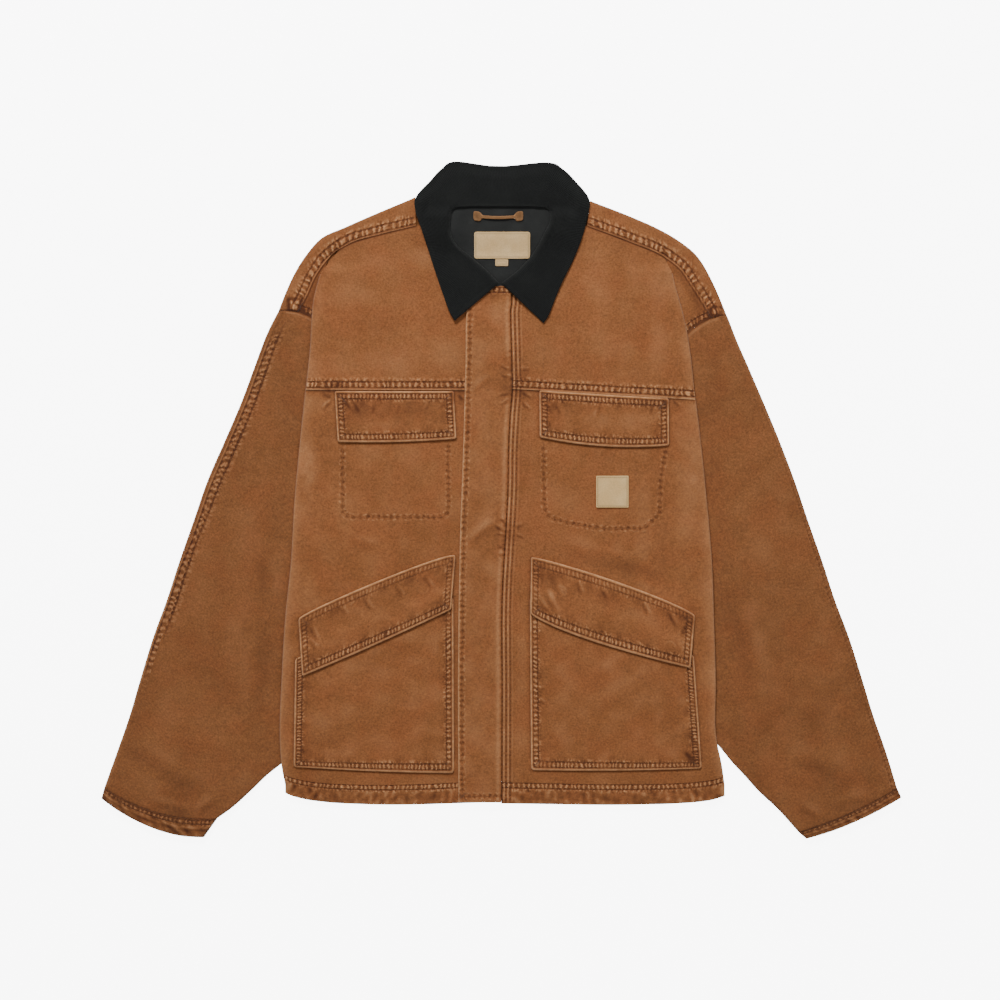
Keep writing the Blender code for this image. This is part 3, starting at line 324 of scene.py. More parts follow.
def hill(value, wide, at=0.0):
    """1 where the value is at a place, falling off evenly to both sides."""
    return np.exp(-(((value - at) / wide) ** 2))


class Reading:
    """A column of a table on a smooth line through its rows."""

    def __init__(self, rows, column, key=0):
        rows = sorted(rows, key=lambda row: row[key])
        self.keys = np.array([row[key] for row in rows], float)
        self.values = np.array([row[column] for row in rows], float)
        self.slopes = np.gradient(self.values, self.keys)

    def __call__(self, key):
        key = np.clip(key, self.keys[0], self.keys[-1])
        i = np.clip(np.searchsorted(self.keys, key) - 1, 0, len(self.keys) - 2)
        step = self.keys[i + 1] - self.keys[i]
        t = (key - self.keys[i]) / step
        near = (1 + 2 * t) * (1 - t) ** 2 * self.values[i] + t * (1 - t) ** 2 * step * self.slopes[i]
        far = t * t * (3 - 2 * t) * self.values[i + 1] + t * t * (t - 1) * step * self.slopes[i + 1]
        return near + far


def line_through(points, count=120):
    """A smooth line through points, as even steps."""
    points = np.array(points, float)
    keys = np.concatenate([[0], np.cumsum(np.linalg.norm(np.diff(points, axis=0), axis=1))])
    rows = np.column_stack([keys, points])
    at = np.linspace(0, keys[-1], count)
    return np.stack([Reading(rows.tolist(), k + 1)(at) for k in range(points.shape[1])], -1)


class Path:
    """A line across the garment, read by the distance along it and straight on past its ends."""

    def __init__(self, points):
        self.points = np.array(points, float)
        self.marks = np.concatenate([[0], np.cumsum(np.linalg.norm(np.diff(self.points, axis=0), axis=1))])
        self.length = self.marks[-1]
        first, last = self.points[1] - self.points[0], self.points[-1] - self.points[-2]
        self.first, self.last = first / np.linalg.norm(first), last / np.linalg.norm(last)

    def at(self, along):
        along = np.asarray(along, float)
        on = np.stack([np.interp(along, self.marks, self.points[:, k]) for k in range(2)], -1)
        before = np.minimum(along, 0)[..., None] * self.first
        return on + before + np.maximum(along - self.length, 0)[..., None] * self.last

    def share(self, t):
        return self.at(np.asarray(t, float) * self.length)


def bend(start, pull, end, count=40):
    """A line that leaves its start and reaches its end in the direction of a pull."""
    start, pull, end = (np.array(p, float) for p in (start, pull, end))
    t = np.linspace(0, 1, count)[:, None]
    return (1 - t) ** 2 * start + 2 * t * (1 - t) * pull + t * t * end


def flip_of(side):
    return -1 if side == RIGHT else 1


def signed(points, side):
    """Places given outwards from the centre line, on their own side of it."""
    points = np.array(points, float)
    points[:, 0] *= flip_of(side)
    return points


def edge_path(table, side, end=()):
    return Path(line_through([(row[side], row[0]) for row in table] + list(end)))


def wobble(s, scale, seed):
    """An uneven wave along a line, from about -1 to 1."""
    dice = np.random.default_rng(seed)
    total = 0.0
    for share in (1.0, 0.61, 0.37):
        total = total + np.sin(2 * math.pi * s / (scale * share) + dice.uniform(0, ONE_TURN)) * share
    return total / 1.5


def swells(x, y, scale, seed, count=7):
    """Uneven broad swells over the cloth, from about -1 to 1."""
    dice = np.random.default_rng(seed)
    total = 0.0
    for _ in range(count):
        angle, size = dice.uniform(0, math.pi), scale * dice.uniform(0.6, 1.7)
        wave = (x * math.cos(angle) + y * math.sin(angle)) / size * 2 * math.pi
        total = total + np.sin(wave + dice.uniform(0, ONE_TURN) + 0.8 * np.sin(wave * 0.37 + angle * 5))
    return total / count * 1.6


def near_line(x, y, line):
    """Distance from a line, positive on its left, and distance along it, for many places."""
    line = np.array(line, float)
    marks = np.concatenate([[0], np.cumsum(np.linalg.norm(np.diff(line, axis=0), axis=1))])
    best = np.full(np.shape(x), FAR)
    away, along = np.full(np.shape(x), FAR), np.zeros(np.shape(x))
    for k, (a, b) in enumerate(zip(line[:-1], line[1:])):
        run = b - a
        size = np.linalg.norm(run)
        t = np.clip(((x - a[0]) * run[0] + (y - a[1]) * run[1]) / size**2, 0, 1)
        dx, dy = x - a[0] - t * run[0], y - a[1] - t * run[1]
        gap = np.hypot(dx, dy)
        closer = gap < best
        best = np.where(closer, gap, best)
        side = np.sign(run[0] * dy - run[1] * dx)
        away = np.where(closer, gap * np.where(side == 0, 1, side), away)
        along = np.where(closer, marks[k] + t * size, along)
    return away, along


# ---------------------------------------------------------------- where things lie

FOLD = {side: Reading(BODY_FOLD, side) for side, _, _ in SIDES}
HEM = {side: Reading(HEM_LINE, side) for side, _, _ in SIDES}
SEAM_OUT = {side: Reading(SIDE_SEAM, side) for side, _, _ in SIDES}
FREE = Reading(PLACKET, 1)
SEWN = Reading(PLACKET, 2)
ARM = {side: Path(bend(*ARMHOLE[side])) for side, _, _ in SIDES}
SLEEVE_OUT = {side: edge_path(SLEEVE_OUTER, side) for side, _, _ in SIDES}
SLEEVE_IN = {side: edge_path(SLEEVE_INNER, side, [CUFF_INNER_END[side]]) for side, _, _ in SIDES}
TUCK = {
    side: np.concatenate([ARM[side].share(np.linspace(0.25, 1, 16)),
                          SLEEVE_IN[side].share(np.linspace(0.02, 1, 40))])
    for side, _, _ in SIDES
}


def by_side(x, reader):
    """A reader of each side, at places on both."""
    return np.where(np.asarray(x) < 0, reader(RIGHT), reader(LEFT))


def tuck_line(up, side):
    """How far out the sleeve's inner edge lies at a height on the garment."""
    points = TUCK[side][::-1]
    return np.interp(up, points[:, 1], points[:, 0])


def over_sleeve(x, y, soft, spare=0):
    """1 where the front lies on the sleeve or the shoulder strip, 0 beside them."""
    out = np.abs(x)
    top = by_side(x, lambda side: TUCK[side][0][1])
    line = by_side(x, lambda side: tuck_line(y, side)) - spare
    fold = by_side(x, lambda side: FOLD[side](y))
    sleeve = np.where(y < top + 4, ramp(out, line - soft, line), 0.0)
    strip = np.where(y > top - 20, ramp(out, fold - 10 - soft, fold - 10) * ramp(y, 276, 262), 0.0)
    return np.maximum(sleeve, strip)


def neck_lift(x, y):
    """How far the collar under it lifts the cloth at the neck."""
    return NECK_LIFT * ramp(np.abs(x), 112, 88) * ramp(y, 284, 312)


def soft_folds(x, y):
    """Height of the broad soft folds."""
    height = 0.0
    for x0, y0, x1, y1, wide, high in SOFT_FOLDS:
        run = np.array([x1 - x0, y1 - y0], float)
        t = ((x - x0) * run[0] + (y - y0) * run[1]) / run.dot(run)
        near = np.clip(t, 0, 1)
        off = np.hypot(x - x0 - near * run[0], y - y0 - near * run[1])
        height = height + high * hill(off, wide) * ramp(t, -0.15, 0.3) * ramp(t, 1.15, 0.7)
    return height


def front_height(x, y):
    """Top of the fronts."""
    hem = by_side(x, lambda side: HEM[side](np.abs(x)))
    rise = FRONT_TOP_OVER_SLEEVE * over_sleeve(x, y, 55)
    sag = HEM_SAG * ramp(y, hem + 45, hem)
    return FRONT_TOP + rise + neck_lift(x, y) - sag + soft_folds(x, y)


def return_height(x, y):
    """Underside of the fronts where they are turned under."""
    spare = 6 + 8 * ramp(y, -240, -290)
    return RETURN_LIFT * over_sleeve(x, y, 18, spare) + neck_lift(x, y)


def sleeve_height(x, y):
    """Top of the sleeves."""
    clear = np.abs(x) - by_side(x, lambda side: FOLD[side](y))
    return mix(SLEEVE_PRESSED, SLEEVE_TOP, ramp(clear, 10, 56)) + soft_folds(x, y) * ramp(clear, 10, 56)


def side_seam(up, side):
    """How far out the side seam lies, under the front."""
    return mix(SEAM_OUT[side](up), tuck_line(up, side), ramp(up, *UNDERARM))


def inside(quad, x, y, soft):
    """1 inside a convex quadrilateral and just round it, fading to 0 across a width of soft."""
    corners = np.array(quad, float)
    area = sum(a[0] * b[1] - b[0] * a[1] for a, b in zip(corners, np.roll(corners, -1, 0)))
    depth = np.full(np.shape(x), FAR)
    for a, b in zip(corners, np.roll(corners, -1, 0)):
        run = (b - a) / np.linalg.norm(b - a)
        depth = np.minimum(depth, (run[0] * (y - a[1]) - run[1] * (x - a[0])) * math.copysign(1, area))
    return ramp(depth, -3 - soft, -3)


# ---------------------------------------------------------------- sewing pulls


def streaks(s, scale, seed):
    """Uneven streaks along a line, from about -1 to 1, mostly of one width."""
    strong = 0.45 + 0.55 * wobble(s, scale * 3.3, seed + 1)
    return np.cos(2 * math.pi * s / scale + 2.2 * wobble(s, scale * 6, seed)) * strong


def note(seams, label, across, along, share):
    """Keep where stitching lies, for the material: across it, along it, and how strongly it shows."""
    across, along, share = np.broadcast_arrays(across, along, share)
    found = np.stack([across, along, share], -1)
    if label in seams:
        kept = seams[label]
        nearer = share * np.exp(-np.abs(across)) > kept[..., 2] * np.exp(-np.abs(kept[..., 0]))
        found = np.where(nearer[..., None], found, kept)
    seams[label] = found


def band(d, s, rows, seed, seams, share=1.0, pitch=5.6, power=0.3, reach=3.0, deep=0.3, slant=0.0):
    """Height and wear of a stitched seam: grooves at its rows, and uneven pulls across and beside it.

    d is the distance from the sewn edge and s the distance along it. Wear is light above 0, dark below.
    """
    first, last = rows
    turns = s / pitch + 0.25 * wobble(s, 47, seed) + 0.11 * wobble(s, 17, seed + 5) + slant * d / 6.3
    note(seams, "band", (d - (first + last) / 2) / ((last - first) / 2), turns, share)
    wave = np.cos(2 * math.pi * turns) * (0.78 + 0.22 * wobble(s, 9, seed + 4))
    strong = 0.45 + 0.55 * ramp(wobble(s, 38, seed + 1), -1.0, 0.8)
    ladder = ramp(d, first - 0.6, first + 1.3) * ramp(d, last + 0.6, last - 1.3)
    far = np.maximum(d - last, 0) / (reach * (0.55 + 0.75 * ramp(wobble(s, 12, seed + 2), -1, 1)))
    beside = np.exp(-(far**2)) * ramp(d, last - 0.4, last + 1.0) * strong
    bite = streaks(s, 7.5, seed + 7)
    groove = sum(hill(d, 0.75, r) for r in rows)
    height = power * strong * wave * ladder + 0.22 * bite * beside - deep * groove
    return height * share, (0.25 * strong * wave * ladder + 0.35 * bite * beside - 0.14 * beside) * share


def marks(x, y):
    """Height and colour of the creases and soft patches: painted shade down in each crease and a painted highlight
    on its crest, and painted shade and lighter wash in the patches.

    A crease is worked out only near it: its box is grown by four of its half widths.
    """
    height, wear_and_shade = np.zeros(np.shape(x)), np.zeros(np.shape(x))
    # Each crease is darker in its valley and lighter on its crest: painted shade and painted highlight.
    for x0, y0, x1, y1, wide, deep in CREASES:
        near = (np.abs(x - (x0 + x1) / 2) < abs(x1 - x0) / 2 + 4 * wide) & (
            np.abs(y - (y0 + y1) / 2) < abs(y1 - y0) / 2 + 4 * wide)
        if not near.any():
            continue
        px, py = x[near], y[near]
        run = np.array([x1 - x0, y1 - y0])
        size = np.linalg.norm(run)
        t = ((px - x0) * run[0] + (py - y0) * run[1]) / size**2
        off = ((py - y0) * run[0] - (px - x0) * run[1]) / size
        off = off * (1 if run[0] >= 0 else -1) + 0.5 * wide * np.sin(3 * t + x0)
        ends = ramp(t, -0.15, 0.3) * ramp(t, 1.15, 0.7)
        valley, crest = hill(off, wide), hill(off - 2 * wide, wide)
        height[near] += deep * ends * (0.55 * crest - valley)
        wear_and_shade[near] += ends * (0.42 * crest - 0.75 * valley) * min(1.0, 2.6 / wide) * min(1.0, deep / 0.4)
    # The darker patches are painted shade, the lighter ones wash and worn spots.
    for cx, cy, rx, ry, strength in SHADE_AND_WASH_PATCHES:
        r = ((x - cx) / rx) ** 2 + ((y - cy) / ry) ** 2
        uneven = 1 + 0.35 * np.sin(x * 0.31 + cy) * np.sin(y * 0.27 + cx)
        wear_and_shade += strength * np.exp(-r) * uneven
    return height, wear_and_shade


def dotted(d, s, seed, seams, share=1.0, pitch=7.2):
    """Height of a single row of stitches that pulls the cloth in at each stitch."""
    turns = s / pitch + 0.2 * wobble(s, 52, seed)
    note(seams, "row", d, turns, share)
    dot = np.clip(np.cos(2 * math.pi * turns) * 1.25, -1, 1)
    hole = hill(d, 1.7)
    flank = hill(np.abs(d), 1.4, 3.0) * np.cos(2 * math.pi * turns + 0.5 * d)
    return (0.10 * flank - 0.34 * hole * (0.4 + 0.6 * dot)) * share


def rolled(d, radius):
    """Drop of a turned edge at a distance from it."""
    inner = np.clip(radius - d, 0, radius)
    return radius - np.sqrt(np.maximum(radius**2 - inner**2, 0))


# ---------------------------------------------------------------- making pieces

MADE = {}


def level(along, high, lean):
    """Distances along, heights and leans of cloth that lies level."""
    return along, along * 0 + high, along * 0 + lean


def joined(*parts):
    """One row from the distances, heights and leans of its parts."""
    return [np.concatenate(values) for values in zip(*parts)]


def thinned(row, at):
    """A row without the few points, from the one at a place on, that its inner wall has no cells for."""
    spare = (len(row[0]) - 1) % BLOCK
    return [np.concatenate([part[:at], part[at + spare:]]) for part in row]


def weave_at(across, along):
    """Where each point lies on the flat cloth, in metres."""
    return np.stack([across * MM, along * MM, across * 0], -1)


def walls(x, y, top, low):
    """Outer and inner points of cloth that lies flat on something."""
    return np.dstack([x, y, top]), np.dstack([x, y, low])


def spread(length, step, ends=(0.0, 0.35, 0.8, 1.5), block=BLOCK):
    """Even shares of a length with a few close ones at both ends, in a number that suits the inner wall."""
    low = np.array(ends, float)
    middle = max(int(round((length - 2 * low[-1]) / step)) - 1, 1)
    while (2 * len(low) + middle - 1) % block:
        middle += 1
    between = np.linspace(low[-1], length - low[-1], middle + 2)[1:-1]
    return np.concatenate([low, between, length - low[::-1]]) / length


def shell(name, outer, inner, material, wear_and_shade=None, cloth=None, ring=False, keep=None, seams=None):
    """Closed cloth wall: a fine outer grid, and an inner one with a row and column for each block.

    wear, cloth and seams are what the material reads at each place. A ring closes on itself across its
    rows, and keep says which blocks are there.
    """
    block = BLOCK
    rows, columns = outer.shape[:2]
    cells = (rows - 1) // block, (columns if ring else columns - 1) // block
    kept = np.ones(cells, bool) if keep is None else keep
    number = np.arange(rows * columns).reshape(rows, columns)
    i, j = np.meshgrid(np.arange(rows - 1), np.arange(columns if ring else columns - 1), indexing="ij")
    shown = kept[i // block, j // block].ravel()
    i, j = i.ravel()[shown], j.ravel()[shown]
    k = (j + 1) % columns
    quads = np.stack([number[i, j], number[i, k], number[i + 1, k], number[i + 1, j]], -1)
    inner_rows = np.arange(0, rows, block)
    inner_columns = np.arange(0, columns, block)
    small = inner[np.ix_(inner_rows, inner_columns)]
    base = rows * columns
    across = len(inner_columns)

    def fine(corner):
        return number[corner[0] * block, (corner[1] * block) % columns]

    def coarse(corner):
        return base + corner[0] * across + corner[1] % across

    polygons = [list(q) for q in quads.tolist()]
    edges = set()
    for a in range(cells[0]):
        for b in range(cells[1]):
            if not kept[a, b]:
                continue
            corners = ((a, b), (a, b + 1), (a + 1, b + 1), (a + 1, b))
            polygons.append([coarse(c) for c in reversed(corners)])
            for p, q in zip(corners, corners[1:] + corners[:1]):
                edges.add((p, q))
    wrap = cells[1] if ring else None
    around = {((p[0], p[1] % wrap), (q[0], q[1] % wrap)) for p, q in edges} if ring else edges
    for p, q in edges:
        back = ((q[0], q[1] % wrap), (p[0], p[1] % wrap)) if ring else (q, p)
        if back in around:
            continue
        step = (np.sign(q[0] - p[0]), np.sign(q[1] - p[1]))
        run = [number[p[0] * block + n * step[0], (p[1] * block + n * step[1]) % columns] for n in range(block + 1)]
        polygons.append([int(v) for v in reversed(run)] + [coarse(p), coarse(q)])
    points = np.concatenate([outer.reshape(-1, 3), small.reshape(-1, 3)])
    extra = {}
    for label, values in (("wear_and_shade", wear_and_shade), ("cloth", cloth), *(seams or {}).items()):
        if values is None:
            values = np.zeros((rows, columns)) if label == "wear_and_shade" else outer.copy()
        picked = values[np.ix_(inner_rows, inner_columns)]
        extra[label] = np.concatenate([values.reshape(base, -1), picked.reshape(len(small.reshape(-1, 3)), -1)])
    thing = mesh_piece(name, points, polygons, material, extra)
    thing.name = f"{name}_cloth"  # the bare name is the node's
    return thing


def mesh_piece(name, points, polygons, material, extra=None, smooth=55):
    """A mesh object from points in millimetres, faces pointing out, riding on the jacket."""
    used = np.unique(np.concatenate([np.array(p) for p in polygons]))
    place = np.full(len(points), -1)
    place[used] = np.arange(len(used))
    loops = place[np.concatenate([np.array(p) for p in polygons])]
    totals = np.array([len(p) for p in polygons])
    mesh = bpy.data.meshes.new(name)
    mesh.vertices.add(len(used))
    mesh.vertices.foreach_set("co", (points[used] * MM).astype(np.float32).ravel())
    mesh.loops.add(len(loops))
    mesh.loops.foreach_set("vertex_index", loops.astype(np.int32))
    mesh.polygons.add(len(totals))
    mesh.polygons.foreach_set("loop_start", np.concatenate([[0], np.cumsum(totals)[:-1]]).astype(np.int32))
    mesh.update(calc_edges=True)
    mesh.validate()
    mesh.calc_loop_triangles()
    corners = np.zeros(len(mesh.loop_triangles) * 3, np.int32)
    mesh.loop_triangles.foreach_get("vertices", corners)
    tri = points[used][corners.reshape(-1, 3)]
    if np.einsum("ij,ij->i", tri[:, 0], np.cross(tri[:, 1], tri[:, 2])).sum() < 0:
        mesh.flip_normals()
    for label, values in (extra or {}).items():
        kind = "FLOAT" if values.shape[1] == 1 else "FLOAT_VECTOR"
        data = values[used].astype(np.float32)
        attribute = mesh.attributes.new(label, kind, "POINT")
        attribute.data.foreach_set("value" if kind == "FLOAT" else "vector", data.ravel())
    mesh.materials.append(material)
    mesh.shade_smooth()
    mesh.set_sharp_from_angle(angle=math.radians(smooth))
    thing = bpy.data.objects.new(name, mesh)
    bpy.context.scene.collection.objects.link(thing)
    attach(thing, "root")
    MADE[name] = thing
    return thing


def sheet(thing, node, slot, wide, long, rests_on=()):
    """Take the place of a node by hiding its solid.
    """
    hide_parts(node)


def panel(name, slot, rests_on, outer, inner, wear_and_shade=None, cloth=None, cut=None, material=None, **more):
    """A wall of cloth that takes the place of its node."""
    thing = shell(name, outer, inner, material or CLOTH_OF[slot], wear_and_shade, cloth, **more)
    sheet(thing, name, slot, *(cut or CUTS[name.removesuffix("_right").removesuffix("_left")]), rests_on)


def profile_row(path, along, height, lean, thick):
    """Outer and inner points of a row of cloth across the garment; lean 0 faces up and 180 down."""
    lean = np.radians(lean)
    on, back = path.at(along), path.at(along - thick * np.sin(lean))
    outer = np.column_stack([on, height])
    return outer, np.column_stack([back, height - thick * np.cos(lean)])


def turn(centre, middle, radius, start, end, steps):
    """Distances along, heights and leans round a fold."""
    lean = np.linspace(start, end, steps + 1)
    angle = np.radians(lean)
    return centre + radius * np.sin(angle), middle + radius * np.cos(angle), lean


# ---------------------------------------------------------------- materials


class Paint:
    """A cloth material, and short ways to add nodes to it. A value is a number, a colour or an output."""

    def __init__(self, name, rough, sheen, specular):
        self.made = bpy.data.materials.new(name)
        self.made.use_nodes = True
        self.tree = self.made.node_tree
        self.shader = self.tree.nodes["Principled BSDF"]
        self.feed(self.shader.inputs["Roughness"], rough)
        self.feed(self.shader.inputs["Sheen Weight"], sheen)
        self.feed(self.shader.inputs["Specular IOR Level"], specular)
        self.place = self.node("TexCoord").outputs["Object"]
        self.cloth = self.attribute("cloth", "Vector")

    def feed(self, socket, value):
        if isinstance(value, tuple):
            socket.default_value = value if len(value) == len(socket.default_value) else (*value, 1)
        elif isinstance(value, (int, float)):
            socket.default_value = value
        else:
            self.tree.links.new(value, socket)

    def node(self, kind, **inputs):
        made = self.tree.nodes.new(f"ShaderNode{kind}")
        for name, value in inputs.items():
            self.feed(made.inputs[name.replace("_", " ")], value)
        return made

    def attribute(self, label, output="Fac"):
        given = self.node("Attribute")
        given.attribute_name = label
        return given.outputs[output]

    def math(self, operation, a, b=0.0, clamp=False):
        made = self.node("Math")
        made.operation, made.use_clamp = operation, clamp
        self.feed(made.inputs[0], a)
        self.feed(made.inputs[1], b)
        return made.outputs[0]

    def total(self, first, *others):
        for other in others:
            first = self.math("ADD", first, other)
        return first

    def product(self, first, *others):
        for other in others:
            first = self.math("MULTIPLY", first, other)
        return first

    def blend(self, factor, a, b, way="MIX"):
        made = self.node("Mix")
        made.data_type, made.blend_type = "RGBA", way
        for number, value in ((0, factor), (6, a), (7, b)):
            self.feed(made.inputs[number], value)
        return made.outputs[2]

    def levels(self, value, low, high, to=(0.0, 1.0)):
        """A value brought from one range to another and held inside it."""
        made = self.node("MapRange", From_Min=low, From_Max=high, To_Min=to[0], To_Max=to[1], Value=value)
        return made.outputs[0]

    def noise(self, vector, scale, detail, rough):
        return self.node("TexNoise", Scale=scale, Detail=detail, Roughness=rough, Vector=vector).outputs["Fac"]

    def threads(self, size):
        """Noise drawn out along the threads of the cloth."""
        return self.noise(self.node("Mapping", Scale=size, Vector=self.cloth).outputs[0], 1, 2, 0.6)

    def shaded(self, base, value, dark, bright):
        """A colour made darker and brighter by a noise."""
        return self.blend(1.0, base, self.levels(value, 0.25, 0.75, (dark, bright)), "MULTIPLY")

    def bands(self, period, axis="X"):
        """Even waves across the cloth, period apart in metres."""
        made = self.node("TexWave", Scale=math.pi / 10 / period, Distortion=0.0, Vector=self.cloth)
        made.bands_direction = axis
        return made.outputs["Fac"]

    def weave(self, period):
        """Height of a plain weave: two sets of threads crossing over and under."""
        return self.math("MAXIMUM", self.bands(period, "X"), self.bands(period, "Y"))

    def finish(self, base, *layers):
        """The material with its colour, and with bump from heights that each have a depth in metres."""
        self.feed(self.shader.inputs["Base Color"], base)
        height = self.total(*(self.product(height, depth) for height, depth in layers))
        bump = self.node("Bump", Strength=1.0, Distance=1.0, Height=height)
        self.feed(self.shader.inputs["Normal"], bump.outputs[0])
        return self.made


def flow(paint, across, along, wide, long, seed):
    """Uneven tone from -1 to 1, in patches of a given size across and along a seam."""
    spot = paint.node("CombineXYZ", X=paint.product(across, 1 / wide), Y=paint.product(along, 1 / long), Z=seed)
    return paint.levels(paint.noise(spot.outputs[0], 1, 2, 0.5), 0.32, 0.68, (-1, 1))


def sewn(paint, label):
    """What a stitching attribute gives: across it, along it, how strongly it shows, and its uneven tones."""
    across, along, share = paint.node("SeparateXYZ", Vector=paint.attribute(label, "Vector")).outputs
    return across, along, share, lambda *patch: flow(paint, across, along, *patch)


def sewn_tone(paint):
    """Tone from -1, dark, to 1, light, that stitching gives cloth: bars and bites, pits in a row, and ribs."""
    total, product, levels = paint.total, paint.product, paint.levels

    def wave(turns):
        return paint.math("COSINE", product(turns, 2 * math.pi))

    def away(value, place):
        return paint.math("ABSOLUTE", paint.math("SUBTRACT", value, place))

    across, along, share, tones = sewn(paint, "band")
    size = paint.math("ABSOLUTE", across)
    bars = levels(wave(total(along, product(tones(1.3, 2.0, 1.0), 0.18))), -0.55, 0.75, (-0.8, 1))
    blobs = tones(0.62, 0.36, 5.0)
    between = product(levels(size, 1.12, 0.78), total(product(bars, 0.58), product(blobs, 0.48), 0.06))
    pits = product(levels(away(size, 1.0), 0.44, 0.12), total(product(bars, 0.30), product(blobs, 0.30), -1.0))
    bites = total(product(tones(1.4, 0.50, 9.0), 0.85), 0.16)
    beside = product(levels(across, 1.05, 1.3), levels(across, 2.9, 1.5), bites)
    fade = levels(tones(7.0, 5.0, 13.0), -0.9, 0.3, (0.45, 1.0))
    bands = product(total(between, pits, beside), fade, share)

    across, along, share, tones = sewn(paint, "row")
    size = paint.math("ABSOLUTE", across)
    uneven = tones(3.0, 1.2, 17.0)
    dot = paint.math("SUBTRACT", wave(total(along, product(uneven, 0.16))), product(size, size, 0.12))
    hole = product(levels(dot, -0.80, 0.6), total(product(uneven, 0.34), -0.56))
    flank = product(levels(away(size, 3.0), 2.0, 0.3), levels(tones(3.5, 0.60, 21.0), -0.2, 0.9), 0.50)
    single = product(total(hole, flank), share)

    across, along, share, tones = sewn(paint, "ridge")
    ribs = paint.math("COSINE", product(paint.math("SUBTRACT", across, 2.9), 2 * math.pi / 4.9))
    uneven = tones(6.0, 1.1, 25.0)
    lit = product(paint.math("MAXIMUM", ribs, 0.0), total(product(uneven, 0.24), 0.66),
                  levels(across, 2.0, 15.0, (1.0, 0.4)))
    dark = product(paint.math("MINIMUM", ribs, 0.0), total(product(wave(along), 0.34), product(uneven, 0.18), 0.66))
    ridges = product(total(lit, dark), levels(across, -1.6, -0.3), levels(across, 15.5, 9.5), share)
    return total(bands, single, ridges)


def canvas(name, dark, mid, light, worn, deep, seed):
    """Washed cotton duck: mottled, slubby, lighter where it is worn, darker down in its pulls, and with the painted
    shade and highlights that come with its worn marks.
    """
    paint = Paint(name, 0.88, 0.12, 0.22)
    shifted = paint.node("VectorMath")
    paint.feed(shifted.inputs[0], paint.place)
    paint.feed(shifted.inputs[1], (seed, seed * 0.7, seed * 1.3))
    place = shifted.outputs[0]
    reddish = tuple(c * k for c, k in zip(mid, (1.08, 0.86, 0.84)))
    base = paint.blend(paint.levels(paint.noise(place, 14, 3, 0.55), 0.36, 0.64), dark, mid)
    base = paint.blend(paint.levels(paint.noise(place, 55, 4, 0.6), 0.40, 0.72, (0.0, 0.50)), base, light)
    base = paint.blend(paint.levels(paint.noise(place, 30, 2, 0.5), 0.42, 0.66, (0.0, 0.34)), base, reddish)
    slub, warp = paint.threads((240, 950, 1)), paint.threads((900, 200, 1))
    grain = paint.noise(place, 460, 3, 0.7)
    for value, low, high in ((slub, 0.86, 1.15), (warp, 0.92, 1.10), (grain, 0.62, 1.40)):
        base = paint.shaded(base, value, low, high)
    fleck = paint.levels(paint.noise(place, 420, 3, 0.7), 0.3, 0.7, (0.55, 1.25))
    tone = sewn_tone(paint)
    # The worn marks, with their painted shade and highlight, and the tone of the stitching.
    rubbed_and_shaded = paint.total(paint.attribute("wear_and_shade"), tone)
    bright = paint.math("MULTIPLY", paint.math("MULTIPLY", rubbed_and_shaded, 0.85, clamp=True), fleck, clamp=True)
    base = paint.blend(bright, base, worn)
    base = paint.blend(paint.math("MULTIPLY", rubbed_and_shaded, -0.95, clamp=True), base, deep)
    ripple = paint.noise(place, 95, 3, 0.5)
    weave = paint.weave(0.00062)
    return paint.finish(base, (tone, 0.00035), (weave, 0.00011), (slub, 0.00016), (ripple, 0.0011), (grain, 0.0002))


def corduroy():
    """Fine-wale corduroy, near black, with its pile a little greyed on the wales."""
    paint = Paint("corduroy", 0.9, 0.05, 0.1)
    paint.feed(paint.shader.inputs["Sheen Roughness"], 0.55)
    wale = paint.bands(0.0016)
    fuzz = paint.noise(paint.place, 900, 3, 0.7)
    rub = paint.levels(paint.noise(paint.place, 28, 4, 0.6), 0.45, 0.75, (0.0, 0.4))
    base = paint.blend(wale, (0.0054, 0.0057, 0.0055), (0.0096, 0.0104, 0.0100))
    base = paint.shaded(paint.blend(rub, base, (0.0125, 0.0136, 0.0126)), fuzz, 0.75, 1.25)
    bright = paint.math("MULTIPLY", paint.attribute("wear_and_shade"), 0.6, clamp=True)
    base = paint.blend(bright, base, (0.022, 0.024, 0.022))
    return paint.finish(base, (wale, 0.00035), (fuzz, 0.0003))


def plain_cloth(name, colour, second, rough=0.85, thread=0.0006, depth=0.0001):
    """A finely woven cloth of two close colours."""
    paint = Paint(name, rough, 0.08, 0.2)
    fine = paint.noise(paint.place, 800, 2, 0.7)
    patches = paint.levels(paint.noise(paint.place, 60, 4, 0.6), 0.35, 0.7)
    base = paint.shaded(paint.blend(patches, colour, second), fine, 0.84, 1.16)
    wear_and_shade = paint.attribute("wear_and_shade")
    base = paint.blend(paint.math("MULTIPLY", wear_and_shade, -0.6, clamp=True), base, tuple(c * 0.45 for c in colour))
    worn = tuple(min(c * 2.4, 0.8) for c in colour)
    base = paint.blend(paint.math("MULTIPLY", wear_and_shade, 0.6, clamp=True), base, worn)
    return paint.finish(base, (paint.weave(thread), depth), (fine, 0.0001))


